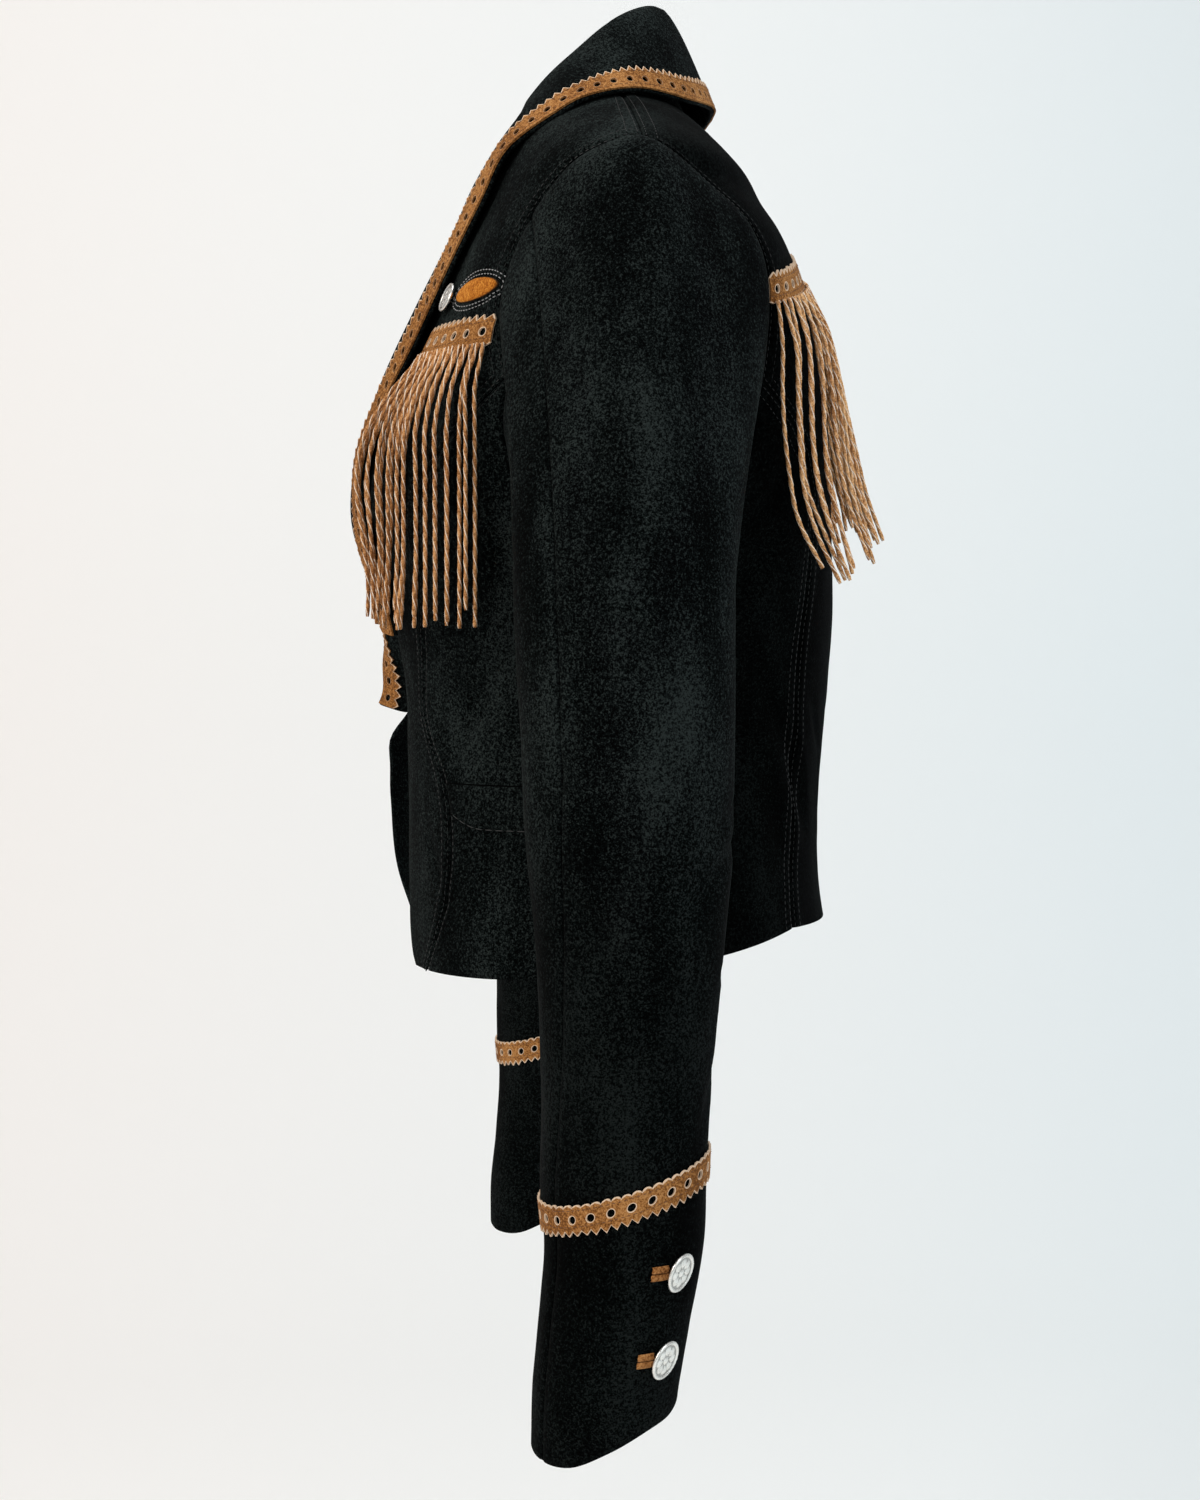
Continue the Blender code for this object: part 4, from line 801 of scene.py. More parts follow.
def welted(grid, *edges):
    """Raise the band of seam allowance that lies under the topstitching."""
    normals, new = grid_normals(grid), copied(grid)
    for i, j, distance in beside(grid, edges, 8):
        new[i][j] += normals[i][j] * SEAM_RISE * exp(-((distance - 0.0045) / 0.0034) ** 2)
    return new


# ---------------------------------------------------------------- meshes

GRIDS = {}
CARRIERS = {}
PIECES = {}


def add_object(name, verts, faces, material, side, pale=None, smooth_faces=True):
    """Link a piece, given as its left one, and let it stand for the solid of the same name."""
    if side == RIGHT:
        faces = [f[::-1] for f in faces]
    mesh = bpy.data.meshes.new(name)
    mesh.from_pydata([tuple(mirrored(v, side)) for v in verts], [], faces)
    mesh.update()
    if smooth_faces:
        mesh.polygons.foreach_set("use_smooth", [True] * len(mesh.polygons))
    if pale is not None:
        layer = mesh.attributes.new("pale", "FLOAT", "POINT")
        layer.data.foreach_set("value", pale)
    mesh.materials.append(material)
    piece = bpy.data.objects.new(name, mesh)
    bpy.context.scene.collection.objects.link(piece)
    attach(piece, "root")
    if not name.startswith("stitch_"):
        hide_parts(name)
    PIECES[name] = piece


def shell(name, outer, side, material, wall=WALL, inner=None, pale=None):
    """Closed thin wall on a grid of points of the left half; keeps its surface as a carrier."""
    normals = grid_normals(outer)
    inner = inner or moved(outer, normals, -wall)
    rows, columns = len(outer), len(outer[0])
    count = rows * columns
    top = [(a, a + columns, a + columns + 1, a + 1) for i in range(rows - 1)
           for a in range(i * columns, (i + 1) * columns - 1)]
    rim = ([(0, j) for j in range(columns)] + [(i, columns - 1) for i in range(1, rows)]
           + [(rows - 1, j) for j in range(columns - 2, -1, -1)]
           + [(i, 0) for i in range(rows - 2, 0, -1)])
    rim = [i * columns + j for i, j in rim]
    faces = top + [tuple(count + q for q in f[::-1]) for f in top]
    faces += [(a, b, count + b, count + a) for a, b in zip(rim, rim[1:] + rim[:1])]
    flat = [p for row in outer for p in row]
    CARRIERS[name] = BVHTree.FromPolygons(flat, [f[::-1] for f in top])
    GRIDS[name] = outer, normals
    add_object(name, flat + [p for row in inner for p in row], faces, material, side,
               pale and pale * 2)


def cut_of(name):
    """Width, length and area of a panel, measured on its own surface."""
    grid = GRIDS[name][0]
    width = max(measured(row)[-1] for row in grid)
    length = max(measured(column)[-1] for column in zip(*grid))
    area = 0.0
    for a, b in zip(grid, grid[1:]):
        for j in range(len(a) - 1):
            area += ((b[j] - a[j]).cross(a[j + 1] - a[j])).length / 2
            area += ((b[j + 1] - a[j + 1]).cross(b[j + 1] - b[j])).length / 2
    return width, length, min(area, width * length)


def inset_line(name, edge, distance):
    """Points and normals that lie the distance in from one edge of a panel."""
    grid, normals = GRIDS[name]
    if edge in ("first_row", "last_row"):
        grid, normals = list(zip(*grid)), list(zip(*normals))
    line = []
    for row, facing in zip(grid, normals):
        if edge in ("last_row", "last_column"):
            row, facing = row[::-1], facing[::-1]
        run = 0.0
        for k in range(len(row) - 1):
            step = (row[k + 1] - row[k]).length
            if run + step >= distance:
                line.append((lerp(row[k], row[k + 1], (distance - run) / step), facing[k]))
                break
            run += step
    return line


def stitches(name, lines, side, material, size=STITCH):
    """Rows of short raised stitches along lines of (point, normal) of the left half."""
    length, gap, half = size
    foot, crest = -0.3 * half, 1.1 * half
    verts, faces = [], []
    for line in lines:
        run = measured([p for p, _ in line])
        count = int(run[-1] / (length + gap))
        if count < 1:
            continue
        pitch = run[-1] / count
        at = 0
        for k in range(count):
            marks = []
            for share in (0.0, 0.28, 0.72, 1.0):
                target = k * pitch + gap / 2 + share * (pitch - gap)
                while at < len(run) - 2 and run[at + 1] < target:
                    at += 1
                t = (target - run[at]) / max(run[at + 1] - run[at], 1e-9)
                marks.append((lerp(line[at][0], line[at + 1][0], t),
                              lerp(line[at][1], line[at + 1][1], t).normalized()))
            (start, up), *middle, (end, end_up) = marks
            onward = (end - start).normalized()
            base = len(verts)
            verts.append(start + up * foot)
            for point, normal in middle:
                sideways = onward.cross(normal).normalized() * half
                verts += [point - sideways + normal * foot, point + normal * crest,
                          point + sideways + normal * foot]
            verts.append(end + end_up * foot)
            faces += [tuple(base + v for v in f[::-1]) for f in STITCH_FACES]
    add_object("stitch_" + name, verts, faces, material, side, None, False)


# ---------------------------------------------------------------- materials

def feed(tree, socket, value):
    """Link a socket to another node's output, or set its value; a colour gets its alpha here."""
    if isinstance(value, bpy.types.NodeSocket):
        tree.links.new(value, socket)
    elif socket.type == "RGBA":
        socket.default_value = (*value, 1)
    else:
        socket.default_value = value


def node(tree, kind, **values):
    """New shader node to the right of the last one, with its inputs or settings."""
    made = tree.nodes.new("ShaderNode" + kind)
    made.location = (200 * len(tree.nodes) - 2400, 400)
    for key, value in values.items():
        key = key.replace("_", " ").title() if key[0].isupper() else key
        if key in made.inputs:
            feed(tree, made.inputs[key], value)
        else:
            setattr(made, key, value)
    return made


def cloud(tree, scale, detail, place=None):
    place = place or tree.nodes["Place"].outputs["Object"]
    return node(tree, "TexNoise", Scale=scale, Detail=detail, Vector=place).outputs["Fac"]


def mixed(tree, factor, first, second, blend="MIX"):
    made = node(tree, "Mix", data_type="RGBA", blend_type=blend)
    for socket, value in ((0, factor), (6, first), (7, second)):
        feed(tree, made.inputs[socket], value)
    return made.outputs[2]


def ramp(tree, source, *stops):
    made = node(tree, "ValToRGB", Fac=source)
    band = made.color_ramp
    while len(band.elements) < len(stops):
        band.elements.new(0.5)
    for element, (at, shade) in zip(band.elements, stops):
        element.position = at
        element.color = (shade, shade, shade, 1) if isinstance(shade, float) else (*shade, 1)
    return made.outputs["Color"]


def span_of(tree, axis, start, end, kind="LINEAR"):
    """Share of the way from start to end along one axis."""
    split = node(tree, "SeparateXYZ", Vector=tree.nodes["Place"].outputs["Object"])
    span = node(tree, "MapRange", interpolation_type=kind, From_Min=start, From_Max=end,
                Value=split.outputs[axis])
    return span.outputs["Result"]


def fresh(name, roughness, metallic=0.0, gloss=None):
    material = bpy.data.materials.new(name)
    material.use_nodes = True
    tree = material.node_tree
    node(tree, "TexCoord").name = "Place"
    shader = tree.nodes["Principled BSDF"]
    shader.inputs["Roughness"].default_value = roughness
    shader.inputs["Metallic"].default_value = metallic
    if gloss is not None:
        shader.inputs["Specular IOR Level"].default_value = gloss
    return material, tree, shader


def bumped(tree, shader, *heights):
    """Chain of bumps: (source, strength, distance)."""
    last = None
    for source, strength, distance in heights:
        bump = node(tree, "Bump", Strength=strength, Distance=distance, Height=source)
        if last is not None:
            feed(tree, bump.inputs["Normal"], last)
        last = bump.outputs["Normal"]
    feed(tree, shader.inputs["Normal"], last)


def suede(name, shades, pale=None, sheen=0.03, gloss=0.05, tint=(1, 0.85, 0.7), cut=0.45,
          painted_shade=None):
    """Napped hide: brushed patches that run downward, fine grain and pale cut edges.

    painted_shade is (axis, start, end, share): painted shade, the hide darker towards the end of
    that span.
    """
    material, tree, shader = fresh(name, 0.92, gloss=gloss)
    brush = node(tree, "Mapping", Scale=NAP_STRETCH, Vector=tree.nodes["Place"].outputs["Object"])
    patch = cloud(tree, 34.0, 5.0, brush.outputs["Vector"])
    grain, fibre = cloud(tree, 620.0, 2.0), cloud(tree, 1250.0, 2.0)
    tone = mixed(tree, 0.27, mixed(tree, 0.55, grain, fibre), patch)
    base = ramp(tree, tone, *zip((0.43, 0.505, 0.6), shades))
    # Painted shade: the base colour is multiplied darker towards the end of the span.
    if painted_shade is not None:
        axis, start, end, share = painted_shade
        shadow = mixed(tree, span_of(tree, axis, start, end, "SMOOTHSTEP"), (1, 1, 1), (share,) * 3)
        base = mixed(tree, 1.0, base, shadow, "MULTIPLY")
    # The pale colour is the cut edges' own colour on the tan pieces; on the welt and the buttonhole
    # binding it is near black, painted shade in their slits.
    if pale is not None:
        edge = node(tree, "Attribute", attribute_name="pale").outputs["Fac"]
        base = mixed(tree, ramp(tree, edge, (cut, 0.0), (0.85, 0.95)), base, pale)
    feed(tree, shader.inputs["Base Color"], base)
    feed(tree, shader.inputs["Sheen Weight"], sheen)
    feed(tree, shader.inputs["Sheen Roughness"], 0.55)
    feed(tree, shader.inputs["Sheen Tint"], tint)
    bumped(tree, shader, (grain, 0.35, 0.0006), (fibre, 0.5, 0.0003), (patch, 0.25, 0.0012))
    return material


def thread(name, colour):
    material, tree, shader = fresh(name, 0.7)
    twist = cloud(tree, 1400.0, 2.0)
    feed(tree, shader.inputs["Base Color"],
         mixed(tree, twist, colour, tuple(0.55 * c for c in colour)))
    bumped(tree, shader, (twist, 0.4, 0.0002))
    return material


def metal(name):
    """Cast silver: faint tarnish, and dark in the hollows of the relief."""
    material, tree, shader = fresh(name, 0.24, 1.0)
    scratch = cloud(tree, 1300.0, 3.0)
    deep = node(tree, "Attribute", attribute_name="pale").outputs["Fac"]
    tone = mixed(tree, ramp(tree, cloud(tree, 240.0, 5.0), (0.38, 0.0), (0.72, 0.5)),
                 (0.88, 0.865, 0.82), (0.62, 0.6, 0.55))
    tone = mixed(tree, ramp(tree, deep, (0.3, 0.0), (0.95, 0.9)), tone, (0.1, 0.095, 0.09))
    feed(tree, shader.inputs["Base Color"], tone)
    feed(tree, shader.inputs["Roughness"], ramp(tree, scratch, (0.3, 0.18), (0.75, 0.42)))
    bumped(tree, shader, (scratch, 0.2, 0.0002))
    return material


NAP = ((0.0003, 0.0004, 0.0004), (0.0028, 0.0041, 0.0041), (0.02, 0.026, 0.025))
BLACK_NAP = {"sheen": 0.008, "gloss": 0.015, "tint": (0.6, 0.65, 0.66)}
SUEDE = suede("Suede black", NAP, **BLACK_NAP)
# Shaded copies of the black suede: painted shade darkens the back and side panels towards the back
# (with less sheen), and the sleeves towards the cuff.
SHADED_BODY_SUEDE = suede("Suede black body", NAP, **{**BLACK_NAP, "sheen": 0.006, "gloss": 0.012},
                   painted_shade=("Y", -0.03, 0.03, 0.26))
SHADED_SLEEVE_SUEDE = suede("Suede black sleeve", NAP, **BLACK_NAP, painted_shade=("Z", -0.33, -0.5, 0.45))
# The welt's pale colour is near black: painted shade in the opening of the pocket.
WELT = suede("Suede black welt", NAP, (0.0001, 0.0001, 0.0001), **BLACK_NAP)
TRIM = suede("Suede tan", ((0.13, 0.048, 0.012), (0.28, 0.115, 0.031), (0.45, 0.22, 0.075)),
             (0.8, 0.6, 0.43))
LACE = suede("Suede fringe", ((0.22, 0.085, 0.026), (0.47, 0.215, 0.08), (0.66, 0.36, 0.16)),
             (1.0, 0.9, 0.76), cut=0.5)
# A lighter copy of the fringe suede for the back fringe: painted light, as if the back fringe were
# lit more brightly.
PAINTED_LIGHT_LACE = suede("Suede fringe rear painted light", ((0.34, 0.145, 0.05), (0.68, 0.36, 0.155),
                                        (0.9, 0.56, 0.28)), (1.0, 0.93, 0.82), cut=0.5)
INSET = suede("Suede orange brown", ((0.24, 0.065, 0.007), (0.44, 0.145, 0.016),
                                     (0.58, 0.24, 0.04)), (0.012, 0.008, 0.006),
              tint=(1, 0.75, 0.5))
# The binding's pale colour is dark brown: painted shade in the buttonhole's slit and at its edges.
BINDING = suede("Suede binding", ((0.15, 0.055, 0.015), (0.31, 0.13, 0.04), (0.45, 0.22, 0.08)),
                (0.03, 0.01, 0.006), tint=(1, 0.8, 0.6))
THREAD_AND_WELT_HIGHLIGHT = thread("Thread charcoal and welt highlight", (0.013, 0.0145, 0.0145))
BROWN_THREAD = thread("Thread brown", (0.14, 0.055, 0.022))
GREY_THREAD = thread("Thread grey", (0.42, 0.42, 0.42))
METAL = metal("Silver cast")


# ---------------------------------------------------------------- panels

SIDES = ("first_column", "last_column")


def make_back():
    rows = [s / 8 for s in range(8 * SEAM_ROWS)]
    rows += [SEAM_ROWS + s / 6 for s in range(6 * ARMHOLE_ROWS)]
    rows += [SHOULDER_ROW + s / 5 for s in range(5 * FRONT_COLUMNS + 1)]
    columns = [t for t in spread(46, 0.0055) if t == 0 or t > 0.02]
    left, right = (pull_edges([[torso_point(back_spot(s, t), side) for t in columns]
                               for s in rows], "last_column") for side in (LEFT, RIGHT))
    grid = [[mirrored(p, RIGHT) for p in b[:0:-1]] + [(a[0] + b[0]) / 2] + a[1:]
            for a, b in zip(left, right)]
    shell("back", furrowed(welted(grid, *SIDES), *SIDES), LEFT, SHADED_BODY_SUEDE)


def make_side(side):
    columns = spread(34, 0.0085)
    grid = [[torso_point(side_spot(i / 78, across), side) for across in columns]
            for i in range(79)]
    grid = furrowed(pull_edges(grid, *SIDES), *SIDES, "last_row")
    shell(side_name("side_panel", side), grid, side, SHADED_BODY_SUEDE)


def make_front(side):
    rows = [s / 8 for s in range(8 * SHOULDER_ROW - 1)] + [SHOULDER_ROW - 0.06, SHOULDER_ROW]
    columns = spread(34, 0.009)
    grid = [[torso_point(front_spot(s, t), side, True) for t in columns] for s in rows]
    grid = welted(pull_edges(grid, "last_row", "first_column"), "first_column")
    shell(side_name("front", side), furrowed(grid, "first_column", "last_row"), side, SUEDE)


def sleeve_spot(u, v):
    """Point of the sleeve: u runs round from the shoulder point, v down to the cuff."""
    u = u % 16
    degrees = smooth(range(17), SLEEVE_ANGLES, u)
    if v < 1:
        start = torso(*armhole_at(u))
        end = sleeve_skin(drifted(degrees, SLEEVE_TOP), SLEEVE_TOP)
        lift = 0.5 + 0.5 * cos(radians(degrees))
        leave = Vector((1.0, 0.0, lerp(-CAP_SLOPE, CAP_SLOPE, lift))) * lerp(*CAP_LEAVE, lift)
        arrive = Vector((0.0, 0.0, -1.0)) * lerp(*CAP_ARRIVE, lift)
        h00, h10 = 2 * v ** 3 - 3 * v ** 2 + 1, v ** 3 - 2 * v ** 2 + v
        h01, h11 = -2 * v ** 3 + 3 * v ** 2, v ** 3 - v ** 2
        if v == 0:
            return start + Vector((SEAM_GAP * 2, 0, 0)), degrees
        return start * h00 + leave * h10 + end * h01 + arrive * h11, degrees
    if v < 2:
        height = lerp(SLEEVE_TOP, CAP_START, v - 1)
    else:
        height = lerp(CAP_START, cuff_height(degrees), v - 2)
    return sleeve_skin(drifted(degrees, height), height), degrees


def make_sleeves(side):
    rows = [0.0, 0.02, 0.05] + [i / 30 for i in range(3, 30)]
    rows += [1 + i / 76 for i in range(76)] + [2 + i / 29 for i in range(30)]
    for stem, first, last, count in (
            ("top_sleeve", FRONT_SEAM_COLUMN, 16 + REAR_SEAM_COLUMN, 42),
            ("under_sleeve", REAR_SEAM_COLUMN, FRONT_SEAM_COLUMN, 40)):
        grid, lifts = [], []
        for v in rows:
            spots = [sleeve_spot(lerp(first, last, t), v) for t in spread(count, 0.0085)]
            grid.append([point for point, _ in spots])
            lifts.append([min(1.0, v * 3)
                          * (creases(SLEEVE_CREASES, degrees, point.z, SLEEVE_RADIUS, side)
                             + wander(point, side)) for point, degrees in spots])
        grid = [[p + n * d for p, n, d in zip(*lines)]
                for lines in zip(grid, grid_normals(grid), lifts)]
        grid = furrowed(pull_edges(grid, *SIDES), *SIDES, "first_row")
        shell(side_name(stem, side), grid, side, SHADED_SLEEVE_SUEDE)


COLLAR_GRIDS = {}


def make_collar(side):
    grid = []
    for i in range(COLLAR_ROWS + 1):
        points = collar_section(LAPEL_END[side] * i / COLLAR_ROWS, side)
        grid.append([smooth_point(COLLAR_STEPS, points, k / COLLAR_ACROSS)
                     for k in range(COLLAR_ACROSS + 1)])
    grid = pull_edges(grid, "first_row")
    normals = grid_normals(grid)
    normals[0] = [Vector((0, n.y, n.z)).normalized() for n in normals[0]]
    COLLAR_GRIDS[side] = grid
    shell(side_name("collar", side), moved(grid, normals, WALL / 2), side, SUEDE,
          inner=moved(grid, normals, -WALL / 2))


# ---------------------------------------------------------------- perforated, pinked strips

def cell_side(k):
    """One coordinate, from -1 to 1, of the k-th point round a square cell."""
    return max(-1.0, min(1.0, (abs(k % RING_SIDES - 8) - 4) / 2))


def strip(name, place, length, side, low, high, stitch_rows, seed, rim_tone=1.0):
    """Perforated strip. low and high are (outline, depth, lean) of its edges; None is plain."""
    rng = random.Random(seed)
    cells = max(2, round(length / HOLE_PITCH))
    pitch = length / cells
    flat, pale, faces, found = [], [], [], {}

    def spot(x, y, tone):
        key = round(x * 1e6), round(y * 1e6)
        if key not in found:
            found[key] = len(flat)
            flat.append((min(max(x, 0.0), length), y))
            pale.append(tone)
        return found[key]

    bottom = EDGE_BAND + (low[1] if low else 0.0)
    top = STRIP_WIDTH - EDGE_BAND - (high[1] if high else 0.0)
    centre_y = (bottom + top) / 2
    for i in range(cells):
        x0 = (i + 0.5) * pitch
        wobble = 1 + 0.05 * rng.uniform(-1, 1)
        rings = [[spot(x0 + radius * wobble * cos(2 * pi * k / RING_SIDES),
                       centre_y + radius * sin(2 * pi * k / RING_SIDES), tone * rim_tone)
                  for k in range(RING_SIDES)] for radius, tone in HOLE_RINGS]
        rings.append([spot(x0 + cell_side(k) * pitch / 2,
                           centre_y + cell_side(k - 4) * (top - bottom) / 2, 0.0)
                      for k in range(RING_SIDES)])
        for a, b in zip(rings, rings[1:]):
            faces += [(a[k - 1], b[k - 1], b[k], a[k]) for k in range(RING_SIDES)]
        for style, base, flip in ((low, bottom, -1), (high, top, 1)):
            valley = base + flip * EDGE_BAND
            for half in (-1, 0):
                left, middle, right = (x0 + (half + s) * pitch / 2 for s in (0, 0.5, 1))
                b0, bm, b1 = (spot(x, base, 0.0) for x in (left, middle, right))
                v0, v1 = (spot(x, valley, 1.0 if style else 0.0) for x in (left, right))
                if style is None:
                    vm = spot(middle, valley, 0.0)
                    loops = [(b0, bm, vm, v0), (bm, b1, v1, vm)]
                else:
                    outline, depth, lean = style
                    grow = 1 + 0.16 * rng.uniform(-1, 1)
                    shift = lean * pitch / 2 + 0.0003 * rng.uniform(-1, 1)
                    points = [spot(lerp(left, right, share) + shift * reach,
                                   valley + flip * depth * reach * grow, 1.0)
                              for share, reach in outline]
                    heart = spot(middle + shift * 0.4, valley + flip * depth * grow * 0.42, 0.0)
                    crown = len(points) // 2
                    loops = [(b0, bm, heart), (bm, b1, heart),
                             (v0, b0, heart) + tuple(points[crown::-1]),
                             (heart, b1, v1) + tuple(points[crown:][::-1])]
                faces += [loop if flip > 0 else loop[::-1] for loop in loops]
    count = len(flat)
    rim = set()
    for face in faces:
        for a, b in zip(face, face[1:] + face[:1]):
            if (b, a) in rim:
                rim.remove((b, a))
            else:
                rim.add((a, b))
    whole = faces + [tuple(count + v for v in f[::-1]) for f in faces]
    whole += [(b, a, count + a, count + b) for a, b in sorted(rim)]
    verts = [place(x, y, TRIM_LIFT + rise) for rise in (TRIM_WALL, 0.0) for x, y in flat]
    add_object(name, verts, whole, TRIM, side, pale + [1.0 if low else 0.0] * count, False)
    steps = max(4, int(length / 0.003))
    lines = []
    for y in stitch_rows:
        ends = [[place(length * k / steps, y, TRIM_LIFT + TRIM_WALL + rise)
                 for rise in (0.0, 0.001)] for k in range(steps + 1)]
        lines.append([(p, (o - p).normalized()) for p, o in ends])
    stitches(name, lines, side, BROWN_THREAD, TRIM_STITCH)


def make_collar_trim(side):
    """Strip along the outer edge of the collar and the lapel."""
    grid = COLLAR_GRIDS[side]
    run = measured([row[-1] for row in grid])
    cells = 16
    table = []
    for row in grid:
        back = row[::-1]
        walked = measured(back)
        table.append([smooth_point(walked, back, lerp(EDGE_TUCK, STRIP_WIDTH, k / cells))
                      for k in range(cells + 1)])
    facing = [line[::-1] for line in grid_normals([line[::-1] for line in table])]

    def place(along_edge, across, rise):
        at = along_edge + SEAM_GAP / 2
        i = min(max(bisect_right(run, at) - 1, 0), len(run) - 2)
        t = (at - run[i]) / (run[i + 1] - run[i])
        w = across / STRIP_WIDTH * cells
        k = min(int(w), cells - 1)
        point = lerp(lerp(table[i][k], table[i][k + 1], w - k),
                     lerp(table[i + 1][k], table[i + 1][k + 1], w - k), t)
        normal = lerp(facing[i][k], facing[i + 1][k], t).normalized()
        return settle(point, normal, rise, [side_name("collar", side)])

    strip(side_name("collar_trim", side), place, run[-1] - SEAM_GAP, side, None,
          (TOOTH, 0.0034, 0.1), (0.0026, 0.0122), 11 + side, 0.62)


def make_front_strip(side):
    start, end = (on_torso(x, FRONT_STRIP_HEIGHT, True) for x in FRONT_STRIP_X)
    length = (end - start).length

    def place(along_strip, across, rise):
        height = FRONT_STRIP_HEIGHT + across - STRIP_WIDTH / 2
        return lie_on_torso(lerp(*FRONT_STRIP_X, along_strip / length), height, True, rise,
                            [side_name("front", side)])

    strip(side_name("front_strip", side), place, length, side, (TOOTH, 0.0012, 0.0),
          (TOOTH, 0.0028, 0.3), (0.0036, 0.012), 21 + side)


def make_back_strip():
    xs, run = back_arc()

    def place(along_strip, across, rise):
        x = smooth(run, xs, along_strip)
        return on_back(x, back_strip_height(x) + across - STRIP_WIDTH / 2, rise)

    strip("back_strip", place, run[-1], LEFT, (TOOTH, 0.0012, 0.0), (TOOTH, 0.0028, 0.2),
          (0.0036, 0.012), 31)


def make_cuff_trim(side):
    rear, front = (radians(SLEEVE_ANGLES[k]) for k in (REAR_SEAM_COLUMN, FRONT_SEAM_COLUMN))
    for stem, first, last in (("cuff_trim_outer", front - 2 * pi, rear),
                              ("cuff_trim_inner", rear, front)):
        angles = [lerp(first, last, i / CUFF_STEPS) for i in range(CUFF_STEPS + 1)]
        run = measured([sleeve_skin(a, CUFF_STRIP_HEIGHT + CUFF_STRIP_SLANT * sin(a))
                        for a in angles])

        def place(along_strip, across, rise):
            angle = smooth(run, angles, along_strip + SEAM_GAP / 2)
            height = CUFF_STRIP_HEIGHT + CUFF_STRIP_SLANT * sin(angle) + across - STRIP_WIDTH / 2
            return lie_on_sleeve(angle, height, rise, side)

        strip(side_name(stem, side), place, run[-1] - SEAM_GAP, side, (TOOTH, 0.003, 0.05),
              (SCALLOP, 0.0017, 0.0), (0.0052, 0.0132), 41 + side)


# ---------------------------------------------------------------- fringe

def lace(store, control, outward, turn):
    """One twisted strand along smooth control points; its two thin edges are pale."""
    verts, faces, pale = store
    keys = range(len(control))
    rough = [smooth_point(keys, control, keys[-1] * i / 24) for i in range(25)]
    run = measured(rough)
    count = int(run[-1] / LACE_STEP)
    centres = [smooth_point(run, rough, run[-1] * i / count) for i in range(count + 1)]
    last_ring = None
    for i, centre in enumerate(centres):
        tangent = (centres[min(i + 1, count)] - centres[max(i - 1, 0)]).normalized()
        sideways = tangent.cross(outward).normalized()
        front = sideways.cross(tangent)
        twist = turn + 2 * pi * run[-1] * i / count / LACE_TURN
        grow = LACE_END if i == count else 1.0
        ring = range(len(verts), len(verts) + LACE_SIDES)
        for k in range(LACE_SIDES):
            a = 2 * pi * k / LACE_SIDES
            u, w = LACE_HALF[0] * cos(a) * grow, LACE_HALF[1] * sin(a) * grow
            x, y = u * cos(twist) - w * sin(twist), u * sin(twist) + w * cos(twist)
            verts.append(centre + sideways * x + front * y)
            pale.append(1.0 if k % 4 == 0 else 0.0)
        if last_ring:
            faces += [(last_ring[k - 1], ring[k - 1], ring[k], last_ring[k])
                      for k in range(LACE_SIDES)]
        else:
            faces.append(tuple(ring))
        last_ring = ring
    faces.append(tuple(last_ring[::-1]))


def lace_rise(s, layer):
    """How far a strand stands off the cloth at a share of its length."""
    return ROOT_CLEAR + (STRAND_CLEAR - ROOT_CLEAR + layer) * min(1.0, 5 * s)


def lace_wave(s, beat, phase):
    return LACE_WAVE * sin(2 * pi * beat * s + phase) * min(1.0, 3 * s)


def make_front_fringe(side):
    carriers = [side_name("front", side), side_name("side_panel", side)]
    height = FRONT_STRIP_HEIGHT - STRIP_WIDTH / 2 + ROOT_UNDER
    rng = random.Random(60 + side)
    verts, faces, pale = store = [], [], []
    for k in range(FRONT_LACES):
        t = (k + 0.5) / FRONT_LACES
        x = lerp(FRONT_STRIP_X[0] + 0.001, FRONT_STRIP_X[1] - 0.001, t)
        group = k % 4 - 1.5
        lean = -lerp(FRONT_SPREAD, SIDE_SPREAD, t) - 0.0011 * group + 0.0022 * rng.uniform(-1, 1)
        length = STRAND_LENGTH * (1 - 0.075 * rng.random())
        phase = rng.uniform(0, 2 * pi)
        layer = (k % 2) * LAYER + 0.0005 * rng.random()
        forward = 0.01 * max(0.0, 1 - t * 3.4)
        control, reach = [], 1.0
        for s in (0.0, 0.06, 0.16, 0.3, 0.46, 0.62, 0.78, 0.9, 1.0):
            z = height - length * s
            skin = lie_on_torso(x + lean * s + lace_wave(s, 1.3, phase), max(z, BUST_HEIGHT),
                                True, lace_rise(s, layer), carriers)
            bow = forward * sin(pi * min(1.0, s * 1.1)) ** 1.5
            reach = min(reach, skin.y)
            control.append(Vector((skin.x - bow * 0.3, reach - bow, z)))
        lace(store, control, torso_normal(angle_at_x(x, height, True), height), phase)
    add_object(side_name("front_fringe", side), verts, faces, LACE, side, pale)


